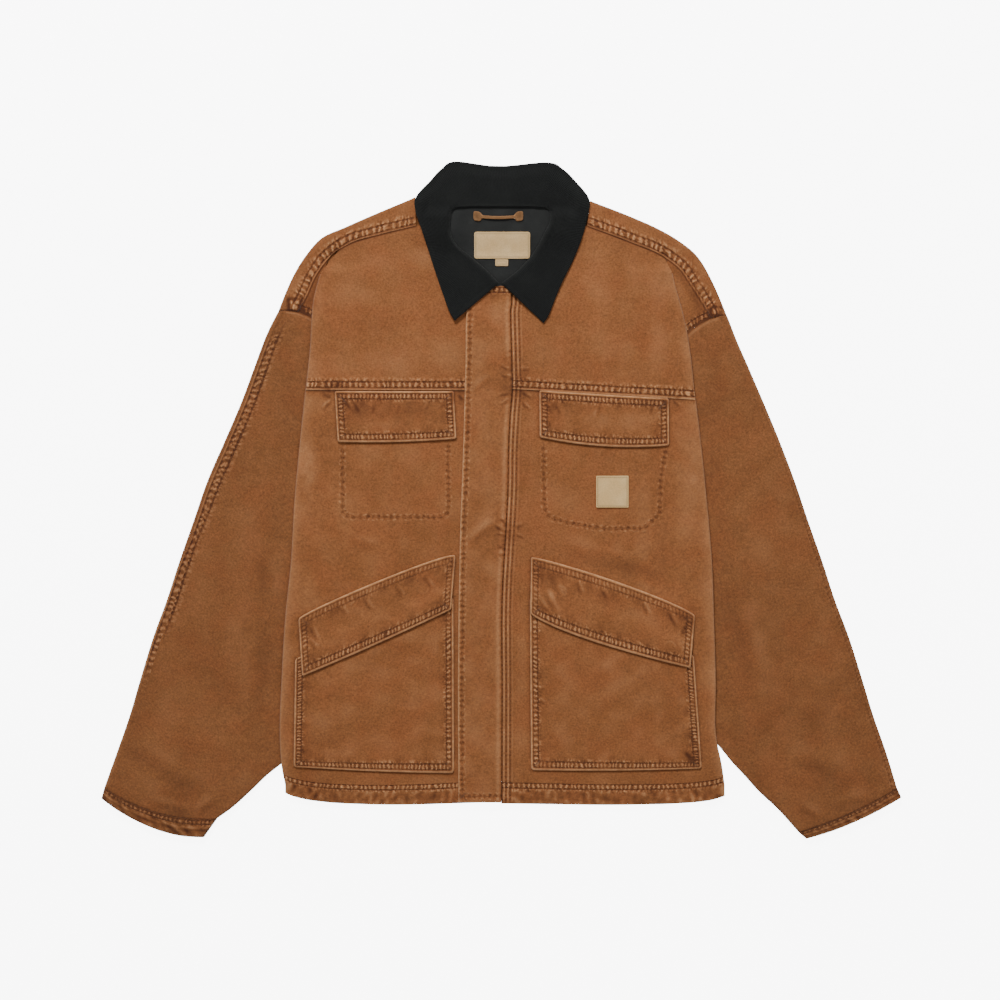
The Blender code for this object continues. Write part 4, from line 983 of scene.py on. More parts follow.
# Colours are linear. A canvas has its dark, middle and light wash, its worn colour, for worn edges and painted
# highlights, and its deep colour, for its pulls and painted shade.
BODY_CANVAS = canvas("canvas_body", (0.196, 0.069, 0.0200), (0.221, 0.080, 0.0245), (0.260, 0.101, 0.035),
                     (0.55, 0.27, 0.12), (0.076, 0.021, 0.0053), 0.0)
SLEEVE_CANVAS = canvas("canvas_sleeve", (0.163, 0.059, 0.0172), (0.188, 0.069, 0.0210), (0.225, 0.088, 0.030),
                       (0.42, 0.19, 0.080), (0.062, 0.017, 0.0045), 3.1)
CORDUROY_CLOTH = corduroy()
LINING_CLOTH = plain_cloth("lining", (0.0115, 0.0122, 0.0117), (0.0153, 0.0160, 0.0150))
LABEL_CLOTH = plain_cloth("label", (0.53, 0.35, 0.160), (0.60, 0.415, 0.210), 0.7, 0.0005, 0.00008)
PATCH_CLOTH = plain_cloth("chest_label", (0.56, 0.36, 0.150), (0.62, 0.42, 0.195), 0.7, 0.0005, 0.00008)
LOOP_CLOTH = plain_cloth("loop", (0.15, 0.070, 0.026), (0.22, 0.115, 0.050))
BODY_THREAD = plain_cloth("thread_body", (0.125, 0.042, 0.012), (0.175, 0.062, 0.019), 0.6)
SLEEVE_THREAD = plain_cloth("thread_sleeve", (0.105, 0.035, 0.010), (0.145, 0.050, 0.015), 0.6)
LABEL_THREAD = plain_cloth("thread_label", (0.23, 0.09, 0.035), (0.27, 0.11, 0.045), 0.6)
CLOTH_OF = {
    "canvas_body": BODY_CANVAS, "canvas_sleeve": SLEEVE_CANVAS, "corduroy": CORDUROY_CLOTH,
    "lining": LINING_CLOTH, "label": LABEL_CLOTH, "loop": LOOP_CLOTH,
}


# ---------------------------------------------------------------- sleeves and cuffs


def sleeve_path(side, t):
    outer, inner = SLEEVE_OUT[side].share(t), SLEEVE_IN[side].share(t)
    shoulder, pull, underarm = (np.array(p, float) for p in ARMHOLE[side])
    outer = mix(shoulder, outer, ramp(t, 0, 0.05))
    across = (inner - outer) / np.linalg.norm(inner - outer)
    down = np.array([-across[1], across[0]])
    armhole_bow = (pull - (shoulder + underarm) / 2) * (1 - ramp(t, 0, 0.45))
    pulled = (outer + inner) / 2 + armhole_bow + down * CUFF_BULGE[side] * ramp(t, 0.55, 1)
    shift = np.array([0, -ARMHOLE_GAP * 0.06]) * (1 - ramp(t, 0, 0.1))
    return Path(signed(bend(outer, pulled, inner) + shift, side))


def cuff_path(side, t):
    start = sleeve_path(side, 1)
    outer, inner = start.share(0), start.share(1)
    across = (inner - outer) / np.linalg.norm(inner - outer)
    down = np.array([-across[1], across[0]])
    down = down if down[1] < 0 else -down
    drop = [mix(SEAM, high, t) for high in CUFF_HEIGHT[side]]
    share = np.linspace(0, 1, len(start.points))[:, None]
    points = start.points + down * mix(drop[0], drop[1], share)
    return Path(points - across * CUFF_CORNER[side] * t * ramp(share, 0.6, 1))


def tube_heights(path):
    return float(sleeve_height(*path.at(0))), float(sleeve_height(*path.share(1)))


def sleeve_wrinkles(x, y, side, seed):
    """Low uneven wrinkles of a sleeve, mostly across it below the elbow."""
    clear = ramp(np.abs(x) - FOLD[side](y), 12, 50)
    return clear * (0.35 * swells(x, y, 70, seed) + 0.16 * swells(x, y, 26, seed + 1))


def sleeve_rows(side):
    """Rows of the front half and of the back half: paths with distances along them, heights and leans."""
    fronts, backs = [], []
    columns = spread(SLEEVE_WIDE, 2.6, (0, 0.4, 1.0, 1.8), block=1)[:-3]
    for t in spread(SLEEVE_LONG, 2.6, (0, 0.5, 1.2, 2.2)):
        path = sleeve_path(side, t)
        outer_high, inner_high = tube_heights(path)
        rim_round, radius = outer_high / 2, inner_high / 2
        end = path.length - radius
        along = mix(FELLED_SEAM, end, columns / columns[-1])
        high = mix(sleeve_height(*path.at(along).T), inner_high, ramp(along, end - 12, end))
        under = np.array([end - UNDER_TURN * 0.5, end - UNDER_TURN])
        row = joined(level(along[:-1], high[:-1], 0), turn(end, radius, radius, 0, 180, 10), level(under, 0, 180))
        fronts.append((path, *thinned(row, 1)))
        low = np.linspace(end - UNDER_TURN - SEAM, rim_round, 36)[:-1]
        rim = np.linspace(rim_round, FELLED_SEAM - TOUCHING, 8)[1:]
        rim_high = mix(outer_high, sleeve_height(*path.at(rim).T), ramp(rim, 3, 9))
        backs.append((path, *joined(
            level(low, 0, 180), turn(rim_round, rim_round, rim_round, 180, 360, 14), level(rim, rim_high, 360))))
    return fronts, backs


def sleeve_seam(side, along, down, top, seams):
    """Height and wear of the seam down the sleeve, felled on the right and plain on the left."""
    if side == LEFT:
        return band(along, down, ARM_BAND, 62, seams, top * (ramp(down, 120, 240) * 0.4), 5.2, reach=1.2)
    off = along - mix(5.2, 2.3, ramp(down, 240, 290))
    strength = ramp(down, 12, 40) * ramp(down, 415, 385)
    pulls, rubs = band(off, down, FELLED_BAND, 60, seams, top * strength, 6.8, 0.5, slant=0.25)
    return pulls, rubs + top * strength * (0.75 * hill(off, 0.9) - 0.4 * hill(off, 1.5, -2.4))


def sleeve(side, label_of):
    for half, rows, rests_on in zip(("front", "back"), sleeve_rows(side), ("back", "floor")):
        outer, inner = (np.array(wall) for wall in zip(*(profile_row(*row, CANVAS) for row in rows)))
        spare = (outer.shape[1] - 1) % BLOCK
        outer, inner = outer[:, spare:], inner[:, spare:]
        along, lean = (np.array([row[k] for row in rows])[:, spare:] for k in (1, 3))
        steps = np.linalg.norm(np.diff(outer[:, 4, :2], axis=0), axis=1)
        down = np.concatenate([[0], np.cumsum(steps)])[:, None] + along * 0
        x, y = outer[..., 0], outer[..., 1]
        up = np.cos(np.radians(lean))
        top = np.clip(up, 0, 1)
        seams = {}
        pulls, rubs = sleeve_seam(side, along, down, top, seams)
        creases, rubbed_and_shaded = marks(x, y)
        to_cuff = down[-1:, :] - down
        height = sleeve_wrinkles(x, y, side, 40 + side) + creases - 0.5 * hill(down, 1.2)
        outer[..., 2] += (height - 0.6 * rolled(to_cuff, 0.6)) * top + pulls
        # The creases and darker patches bring painted shade and highlight into the colour.
        wear_and_shade = 0.10 * swells(x, y, 60, 50 + side) + rubbed_and_shaded - 0.30 * hill(to_cuff, 2.5)
        wear_and_shade = (wear_and_shade + 0.5 * hill(down, 1.2, 2.6) - 0.7 * hill(down, 1.2)) * top + rubs
        rim_light = hill(along, 2.6) * ramp(up, -0.3, 0.5)
        wear_and_shade = wear_and_shade + (0.45 + 0.35 * streaks(down, 9, 64 + side)) * rim_light
        panel(f"sleeve_{half}_{label_of}", "canvas_sleeve", [rests_on], outer, inner, wear_and_shade,
              weave_at(along, down), seams=seams)


def cuff(side, label_of):
    made, seams = [], {}
    for t in spread(CUFF_LONG, 1.3, (0, 0.5)):
        path = cuff_path(side, t)
        left, radius = (high / 2 for high in tube_heights(path))
        right = path.length - radius
        top = np.linspace(left, right, 78)[1:-1]
        floor = np.linspace(right, left, 32)[1:-1]
        row = joined(level(top, sleeve_height(*path.at(top).T), 0), turn(right, radius, radius, 0, 180, 8),
                     level(floor, 0, 180), turn(left, left, left, 180, 360, 8))
        made.append((*profile_row(path, *row, HEM_PLY), row[0], row[0] * 0 + t * CUFF_LONG))
    outer, inner, along, down = (np.array(v) for v in zip(*made))
    top = np.clip(np.cos(np.radians(row[2])), 0, 1)[None, :]
    pulls, rubs = band(down, along, CUFF_BAND, 80 + side, seams, 0.9 * top, 5.4, reach=2, deep=0.35)
    x, y = outer[..., 0], outer[..., 1]
    crumple = swells(x + 0.7 * y, y, 12, 84 + side, 11) * ramp(down, 2, 7)
    outer[..., 2] += (pulls + 0.55 * crumple - 0.6 * rolled(down, 0.6) - rolled(CUFF_LONG - down, 1.2)) * top
    edge = (0.75 + 0.3 * streaks(along, 11, 90 + side)) * hill(down, 1.5, CUFF_LONG)
    lines = 0.45 * hill(down, 1.1, 8.6) - 0.45 * hill(down, 1.2, 11.2) - 0.35 * hill(down, 1.4)
    wear_and_shade = (rubs + 0.85 * crumple - 0.20 + edge + lines) * top
    panel(f"cuff_{label_of}", "canvas_sleeve", [], outer, inner, wear_and_shade, weave_at(along, down), ring=True,
          seams=seams)


# ---------------------------------------------------------------- shoulders and back


def strip_path(side, t):
    table = SHOULDER[side]
    silhouette = Path(line_through([row[:2] for row in table])).share(t)
    seam = Path(line_through([row[2:] for row in table])).share(t)
    spots = np.linspace(0, 1, 12)
    line = mix(silhouette, seam, spots[:, None])
    last = np.linalg.norm(np.array(table[-1][2:], float) - np.array(table[-1][:2], float))
    curved = ARM[side].at(last * spots)
    return Path(signed(mix(line, curved, ramp(t, 0.8, 1)), side))


def strip_rows(side):
    """Walls of a shoulder strip, and at each place the distances from its front seam and from the neck."""
    made = []
    columns = spread(STRIP_WIDE, 1.3, (0, 0.4, 0.9), block=1)[:-2]
    for t in spread(STRIP_LONG, 1.5, (0, 0.4, 1.0)):
        path = strip_path(side, t)
        seam_high = mix(front_height(*path.share(1)), SLEEVE_PRESSED, ramp(t, *STRIP_DIVE))
        low = neck_lift(*path.at(0))
        outer_high = SLEEVE_TOP + low
        radius = (outer_high - low) / 2
        along = mix(path.length - SEAM, radius, columns)[:-1]
        plain = mix(outer_high, seam_high, ramp((along - radius) / (path.length - radius), 0, 1))
        high = mix(plain, sleeve_height(*path.at(along).T), ramp(t, 0.8, 1))
        back = np.linspace(radius, STRIP_RETURN, 4)[1:]
        row = joined(level(along, high, 0), turn(radius, low + radius, radius, 360, 180, FOLD_STEPS),
                     level(back, neck_lift(*path.at(back).T), 180))
        row = thinned(row, 1)
        made.append((*profile_row(path, *row, CANVAS), path.length - row[0], row[0] * 0 + t * STRIP_LONG))
    return *(np.array(v) for v in zip(*made)), np.clip(np.cos(np.radians(row[2])), 0, 1)[None, :]


def shoulder_strip(side, label_of):
    outer, inner, seam, down, top = strip_rows(side)
    x, y = outer[..., 0], outer[..., 1]
    seams = {}
    height, wear_and_shade, behind = shoulder_relief(x, y, side, seams)
    armhole = ARM[side].at(np.linspace(0, ARM[side].length / 2, 30))
    end = np.abs(near_line(x, y, signed(armhole, side))[0])
    wedge = ramp(behind, 1.5, -1.5)
    hem_in, rubs = band(end, seam, (2.0, 7.4), 24 + side, seams, wedge * ramp(end, 20, 14))
    cx, cy, half_wide, half_tall = BAR_TACK[side]
    from_tack = np.maximum(np.abs(x - cx) / half_wide, np.abs(y - cy) / half_tall)
    box = ramp(from_tack, 0.75, 0.45)
    creases, rubbed_and_shaded = marks(x, y)
    outer[..., 2] += (height + hem_in - 0.4 * hill(end, 1.0) + 0.5 * box + creases) * top
    # The seam brings painted shadow beside its lapped edge, and the creases and darker patches bring painted shade
    # and highlight.
    wear_and_shade = wear_and_shade + rubs + 0.5 * box - 1.3 * hill(from_tack, 0.26, 0.9) - 0.7 * hill(end, 1.0, 0.4)
    wear_and_shade = (wear_and_shade + rubbed_and_shaded + 0.10 * swells(x, y, 40, 26 + side)) * top
    panel(f"yoke_{label_of}", "canvas_body", [f"sleeve_back_{label_of}"], outer, inner, wear_and_shade,
          weave_at(seam, down), seams=seams)


def back_edge(side):
    """The back's edge from its hem up the side seam, round the armhole and along the shoulder to the neck."""
    ups = np.linspace(HEM[side](180) + HEM_HEIGHT, 36, 60)
    seam = np.column_stack([side_seam(ups, side) - CURVED_SEAM, ups])
    ups = np.linspace(38, 72, 14)
    above = np.column_stack([side_seam(ups - 10, side) - CURVED_SEAM, ups])
    arm = ARM[side].at(np.linspace(ARM[side].length - 28, STRIP_RETURN, 50)[:-1]) - [0.5, 0]
    shoulder = [strip_path(side, t).at(STRIP_RETURN + SEAM + 0.1) for t in np.linspace(1, 0, 26)]
    return signed(np.concatenate([seam, above, arm, np.abs(shoulder)]), side)


def back():
    right, left = back_edge(RIGHT), back_edge(LEFT)
    spare = (len(right) - 1) % BLOCK
    places = mix(right[spare:, None], left[spare:, None], np.linspace(0, 1, BACK_COLUMNS)[None, :, None])
    x, y = places[..., 0], places[..., 1]
    low = neck_lift(x, y)
    wear_and_shade = 0.14 * swells(x, y, 70, 230)
    panel("back", "canvas_body", ["floor"], *walls(x, y, low + CANVAS, low), wear_and_shade, weave_at(x, y))


def back_hem():
    rows, seams = [], {}
    shares = spread(BACK_HEM_LONG, 2, (0,))
    for t in shares:
        ends = []
        for side, _, flip in SIDES:
            low = HEM[side](180)
            up = mix(low + HEM_HEIGHT - SEAM, low + BACK_HEM_UP, t)
            ends.append(np.array([flip * (side_seam(up, side) - CURVED_SEAM), up]))
        rows.append(mix(*ends, np.linspace(0, 1, BACK_COLUMNS)[:, None]))
    x, y = np.moveaxis(np.array(rows), -1, 0)
    wear_and_shade = band((shares * BACK_HEM_LONG)[:, None], x, HEM_BAND, 232, seams)[1] + 0.4 * swells(x, y, 9, 234)
    panel("hem_back", "canvas_body", ["floor"], *walls(x, y, x * 0 + HEM_PLY, x * 0), wear_and_shade, weave_at(x, y),
          seams=seams)


# ---------------------------------------------------------------- fronts


def laid_place(quad, sag, rise, s, t):
    """Places in a laid piece by shares across it and down it.

    sag is how far its lower edge hangs and at what share, and rise how far its upper edge bows up, leaning.
    """
    a, b, c, d = (np.array(p, float) for p in quad)
    (deep, deepest), (high, lean) = sag, rise
    places = mix(a + (b - a) * s[..., None], d + (c - d) * s[..., None], t[..., None])
    s = np.clip(s, 0, 1)
    bow, arch = s ** (math.log(0.5) / math.log(deepest)), s**lean
    places[..., 1] += high * (1 - t) * 2 * np.sqrt(arch * (1 - arch)) - deep * t * 4 * bow * (1 - bow)
    return places


def quad_size(quad):
    a, b, c, d = (np.array(p, float) for p in quad)
    return ((np.linalg.norm(b - a) + np.linalg.norm(c - d)) / 2,
            (np.linalg.norm(d - a) + np.linalg.norm(c - b)) / 2)


def quad_lines(quad, sag, offsets, edges, rise=FLAT_RISE):
    """Lines inside the edges of a laid piece, by their distances in from the edge."""
    wide, tall = quad_size(quad)
    spots = np.linspace(0, 1, 40)
    lines = []
    for off in offsets:
        s0, t0 = off / wide, off / tall
        across = mix(s0, 1 - s0, spots)
        down = mix(t0 * ("top" in edges), 1 - t0 * ("bottom" in edges), spots)
        sides = {"inner": (s0, down), "bottom": (across, 1 - t0), "outer": (1 - s0, down), "top": (across, t0)}
        lines += [laid_place(quad, sag, rise, *np.broadcast_arrays(*sides[k])) for k in edges]
    return lines


def edges_laid(side):
    """Inner, lower and outer edges of what is sewn on a front, for the painted shadow on the cloth beside them."""
    return [quad_lines(signed(table[side], side), sag, (0.0,), AROUND, rise) for table, sag, rise in (
        (HIP_POCKET, HIP_POCKET_SAG, FLAT_RISE), (HIP_FLAP, HIP_FLAP_SAG[side], HIP_FLAP_RISE[side]),
        (CHEST_FLAP, CHEST_FLAP_SAG[side], FLAT_RISE))]


LAID_QUADS = [signed(table[side], side) for side, _, _ in SIDES for table in (HIP_POCKET, HIP_FLAP, CHEST_FLAP)]
LAID_EDGES = {side: edges_laid(side) for side, _, _ in SIDES}


def painted_edge_shadow(x, y, outlines):
    """How much painted shadow darkens the cloth beside the edges of what is sewn on it."""
    dark = np.zeros(np.shape(x))
    for lines in outlines:
        close = np.min([np.abs(near_line(x, y, line[::6])[0]) for line in lines], axis=0)
        dark = np.maximum(dark, hill(close, 2.1))
    return dark


def ridge(x, y):
    """Felled seam beside the placket: rounded ribs with a stitched groove after each."""
    d = x - SEWN(y)
    rib = 1.15 * hill(d, 1.8, 3.0) + 1.0 * hill(d, 1.7, 7.9) + 0.65 * hill(d, 2.2, 12.8)
    return np.where(x > -20, rib, 0.0)


def front_relief(x, y, side, seams):
    """Height and colour that sewing and use add to the top of a front, with painted shade in its creases, in darker
    patches and beside what is sewn on it.
    """
    height = 0.26 * swells(x, y, 75, 100 + side) + 0.10 * swells(x, y, 24, 102 + side)
    fold = FOLD[side](y) - np.abs(x)
    wear_and_shade = 0.12 * swells(x, y, 55, 104 + side) + 0.22 * hill(fold, 9) + 0.55 * hill(fold, 1.6)
    hidden = np.max([inside(quad, x, y, 4) for quad in LAID_QUADS], axis=0)
    bare = 1 - hidden
    if side == LEFT:
        d = x - SEWN(y)
        uneven = wobble(y, 40, 7)
        note(seams, "ridge", d, y / RIDGE_PITCH + 0.24 * uneven, ramp(d, 24, 18))
        groove = sum(hill(d, 0.8, r) for r in RIDGE_ROWS) * np.cos(2 * math.pi * y / RIDGE_PITCH + 1.5 * uneven)
        height = height + ridge(x, y) - 0.12 * groove
        wear_and_shade = wear_and_shade - 0.12 * hill(d, 1.1, -0.3)
    d, s = near_line(x, y, cornered(CHEST_POCKET[side]))
    height = height + dotted(d, s, 120 + side, seams, bare)
    if side == LEFT:
        height = height - 0.2 * hill(near_line(x, y, CHEST_LABEL + CHEST_LABEL[:1])[0], 2.5)
    creases, rubbed_and_shaded = marks(x, y)
    # Painted shadow beside the edges of what is sewn on, and painted shade and highlight from the creases and
    # darker patches.
    wear_and_shade = wear_and_shade * (1 - 0.7 * hidden) + rubbed_and_shaded * bare - 0.5 * painted_edge_shadow(x, y, LAID_EDGES[side])
    return height + creases * bare, wear_and_shade


def shoulder_relief(x, y, side, seams):
    """Height and colour of the seam from the neck to the armhole, with painted shadow beside its lapped edge, and
    how far each place is behind it.
    """
    away, s = near_line(x, y, line_through(signed(SHOULDER_SEAM[side], side), 60))
    d = away * flip_of(side)
    ends = ramp(s, -2, 2)
    lap = ramp(d, -0.4, 0.9)
    pulls, rubs = band(d, s, SHOULDER_BAND, 20 + side, seams, lap * ends, 7.2, 0.5, slant=0.3)
    # A worn, lighter lapped edge, painted shadow just beside it, and a broader darker band beside it towards the
    # armhole.
    line = 0.85 * hill(d, 0.8, 0.8) - 1.1 * hill(d, 0.9, -0.8) - 0.35 * hill(d, 3.5, -5) * ramp(s, 90, 140)
    return pulls + 0.65 * ramp(d, 14, 9) * lap * ends, rubs + line * ends, d


def cornered(points, soft=4.0):
    """A line through corners that are only slightly rounded."""
    path = Path(points)
    marks_at = np.linspace(0, path.length, 90)
    return np.mean([path.at(np.clip(marks_at + k, 0, path.length)) for k in np.linspace(-soft, soft, 7)], axis=0)


def front_grid(side, levels_up, thick):
    """Rows of a front panel from the centre front over the side fold to the side seam."""
    rows = []
    s = np.linspace(0, 1, 60)
    for centre_up, fold_up, curved in levels_up:
        centre = RIGHT_FRONT_INNER if side == RIGHT else float(SEWN(centre_up)) + TOUCHING
        fold_out = float(FOLD[side](fold_up))
        bow = HEM[side](mix(centre, fold_out, s)) - mix(HEM[side](centre), HEM[side](fold_out), s)
        line = [flip_of(side) * mix(centre, fold_out, s), mix(centre_up, fold_up, s) + curved * bow]
        rows.append(front_row(Path(np.column_stack(line)), side, thick, centre))
    return tuple(np.array(v) for v in zip(*rows))


def front_row(path, side, thick, centre):
    """A row of a front: its walls, and how far each place faces up."""
    shares = spread(FRONT_WIDE, FRONT_STEP, (0, 0.4, 0.9, 1.5), block=1)[:-3]
    edge_x, edge_y = path.share(1)
    low, high = float(return_height(edge_x, edge_y)), float(front_height(edge_x, edge_y))
    radius = (high - low) / 2
    end = path.length - radius
    along = end * shares / shares[-1]
    top = mix(front_height(*path.at(along).T), high, ramp(along, end - 12, end))
    seam = side_seam(edge_y, side) - abs(centre)
    for _ in range(4):
        seam = min(side_seam(path.at(seam)[1], side) - abs(centre), end - 5)
    back = np.linspace(end, seam, RETURN_STEPS + 1)[1:]
    back_high = mix(low, return_height(*path.at(back).T), ramp(back, end, end - 6))
    row = thinned(joined(level(along[:-1], top[:-1], 0), turn(end, low + radius, radius, 0, 180, FOLD_STEPS),
                         level(back, back_high, 180)), 4)
    return *profile_row(path, *row, thick), np.clip(np.cos(np.radians(row[2])), 0, 1)


def hem_level(side, share):
    """Heights of a line in the front hem at the centre and at the fold, and that it bows as the hem does."""
    centre = float(HEM[side](10))
    fold = float(HEM[side](FOLD[side](-335) - 4))
    return mix(centre + HEM_HEIGHT, centre, share), mix(fold + HEM_HEIGHT - 2, fold, share), 1


def flat_cloth(outer):
    """Weave coordinates that follow the cloth round its folds."""
    steps = np.linalg.norm(np.diff(outer, axis=1), axis=2)
    along = np.concatenate([np.zeros((len(outer), 1)), np.cumsum(steps, axis=1)], axis=1)
    return np.stack([along * MM, outer[..., 1] * MM, along * 0], -1)


def lower_front(side, label_of):
    top, low = CHEST_SEAM[side], hem_level(side, 0)
    rows = spread(FRONT_LONG, 1.55, (0, 0.5, 1.2))
    levels_up = [[mix(top[k] - TOUCHING, low[k] + TOUCHING, t) for k in (0, 1)] + [t] for t in rows]
    outer, inner, tops = front_grid(side, levels_up, CANVAS)
    seams = {}
    height, wear_and_shade = front_relief(outer[..., 0], outer[..., 1], side, seams)
    down = (rows * FRONT_LONG)[:, None]
    outer[..., 2] += (height - rolled(down, 0.9) - 0.25 * hill(down, 3.5)) * tops
    # Painted shadow along the top, under the lapped edge of the panel above.
    wear_and_shade = (wear_and_shade - 0.75 * hill(down, 1.5) - 0.25 * hill(down, 5)) * tops
    panel(f"front_{label_of}", "canvas_body", [f"sleeve_front_{label_of}", "back"], outer, inner, wear_and_shade,
          flat_cloth(outer), seams=seams)


def front_hem(side, label_of):
    rows = spread(FRONT_HEM_LONG, 1.15, (0, 0.4, 0.9))
    outer, inner, tops = front_grid(side, [hem_level(side, t) for t in rows], HEM_PLY)
    x, y = outer[..., 0], outer[..., 1]
    down = (rows * FRONT_HEM_LONG)[:, None] + x * 0
    seams = {}
    height, wear_and_shade = front_relief(x, y, side, seams)
    pulls, rubs = band(down, np.abs(x), HEM_BAND, 140 + side, seams, tops, 5.4, 0.35, 2)
    crumple = swells(x, y * 0.6, 8, 144 + side, 12) * ramp(down, 6, 11)
    wear_and_shade = wear_and_shade + rubs + 0.75 * crumple - 0.10 * ramp(down, 6, 12) + 0.45 * hill(down, 1.3, FRONT_HEM_LONG)
    wear_and_shade = wear_and_shade + 0.5 * hill(FOLD[side](y) - np.abs(x), 2.0)
    outer[..., 2] += (height + pulls + 0.4 * crumple - rolled(FRONT_HEM_LONG - down, 1.3)) * tops
    panel(f"hem_front_{label_of}", "canvas_body", [f"front_{label_of}"], outer, inner, wear_and_shade * tops,
          flat_cloth(outer), seams=seams)


def yoke_edges(side):
    """Matching points up the inner and the outer edge of a front's top panel, and where its fold ends."""
    low, high = CHEST_SEAM[side][1], YOKE_FOLD_TOP
    fold = [(float(FOLD[side](up)), up) for up in np.linspace(low, high, 11)]
    shoulder = [tuple(np.abs(strip_path(side, t).share(1))) for t in (0.52, 0.47, 0.42, 0.3, 0.14, 0)]
    centre = []
    for up in np.linspace(CHEST_SEAM[side][0], NECKLINE[side][0][1] - 10, 5):
        centre.append((RIGHT_FRONT_INNER if side == RIGHT else float(SEWN(up)) + SEAM, up))
    inner = Path(line_through(centre + list(NECKLINE[side])))
    outline = Path(fold + shoulder)
    shares = np.array(spread(outline.length, FRONT_STEP, (0, 0.5, 1.2)))
    return inner.share(shares), outline.share(shares), outline.marks[len(fold) - 1] / outline.length, shares


def top_front(side, label_of):
    """The front above the chest seam. Above the armhole it has no fold, and there its rows end at the strip."""
    starts, ends, fold_share, shares = yoke_edges(side)
    paths = []
    for start, end in zip(starts, ends):
        end = end - (end - start) / np.linalg.norm(end - start) * SEAM
        paths.append(Path(signed(mix(start, end, np.linspace(0, 1, 30)[:, None]), side)))
    rows = [front_row(path, side, CANVAS, start[0]) for path, start in zip(paths, starts)]
    outer, inner, tops = (np.array(v) for v in zip(*rows))
    last = int(np.searchsorted(shares, fold_share)) // BLOCK * BLOCK
    flat_count = (int((tops[0] > 0.999).sum()) - 1) // BLOCK * BLOCK + 1
    for i in range(last + 1, len(outer)):
        along = np.linspace(0, paths[i].length, flat_count)
        high = front_height(*paths[i].at(along).T)
        outer[i, :flat_count], inner[i, :flat_count] = profile_row(paths[i], *level(along, high, 0), CANVAS)
    x, y = outer[..., 0], outer[..., 1]
    seams = {}
    height, wear_and_shade = front_relief(x, y, side, seams)
    d, s = near_line(x, y, signed([(10, CHEST_SEAM[side][0]), (232, CHEST_SEAM[side][1])], side))
    d = np.abs(d)
    pulls, rubs = band(d, s, CHEST_BAND, 160 + side, seams, tops, 6.3, 0.5, 2)
    lap, lapped, _ = shoulder_relief(x, y, side, seams)
    outer[..., 2] += (height + pulls + 0.7 * ramp(d, 15, 12) - rolled(d, 1.2) + lap) * tops
    # The shoulder seam's colour brings painted shadow beside its lapped edge.
    wear_and_shade = (wear_and_shade + rubs + 0.9 * hill(d, 1.0, 0.5) + lapped) * tops
    keep = np.ones(((len(outer) - 1) // BLOCK, (outer.shape[1] - 1) // BLOCK), bool)
    keep[last // BLOCK:, (flat_count - 1) // BLOCK:] = False
    panel(f"front_yoke_{label_of}", "canvas_body", [f"sleeve_front_{label_of}"], outer, inner, wear_and_shade,
          flat_cloth(outer), keep=keep, seams=seams)


# ---------------------------------------------------------------- what lies on the fronts


def rounded(u, v, wide, tall, radius):
    """Places in a rectangle with its corners rounded."""
    for far_u, far_v in ((False, True), (True, True), (False, False), (True, False)):
        a = wide - u if far_u else u
        b = tall - v if far_v else v
        p, q = radius - a, radius - b
        near = (a < radius) & (b < radius)
        size = np.maximum(np.hypot(p, q), 1e-6)
        pull = np.where(near, np.maximum(p, q) / size, 1.0)
        a, b = radius - p * pull, radius - q * pull
        u = np.where(near, wide - a if far_u else a, u)
        v = np.where(near, tall - b if far_v else b, v)
    return u, v


def ground(x, y, laid):
    """Top of the fronts with the pieces laid on them so far."""
    height = front_height(x, y) + np.where(x > 0, 1.2 * ramp(x - SEWN(y), 16, 13), 0.0)
    return height + sum(ply * inside(quad, x, y, 18) for quad, ply in laid)


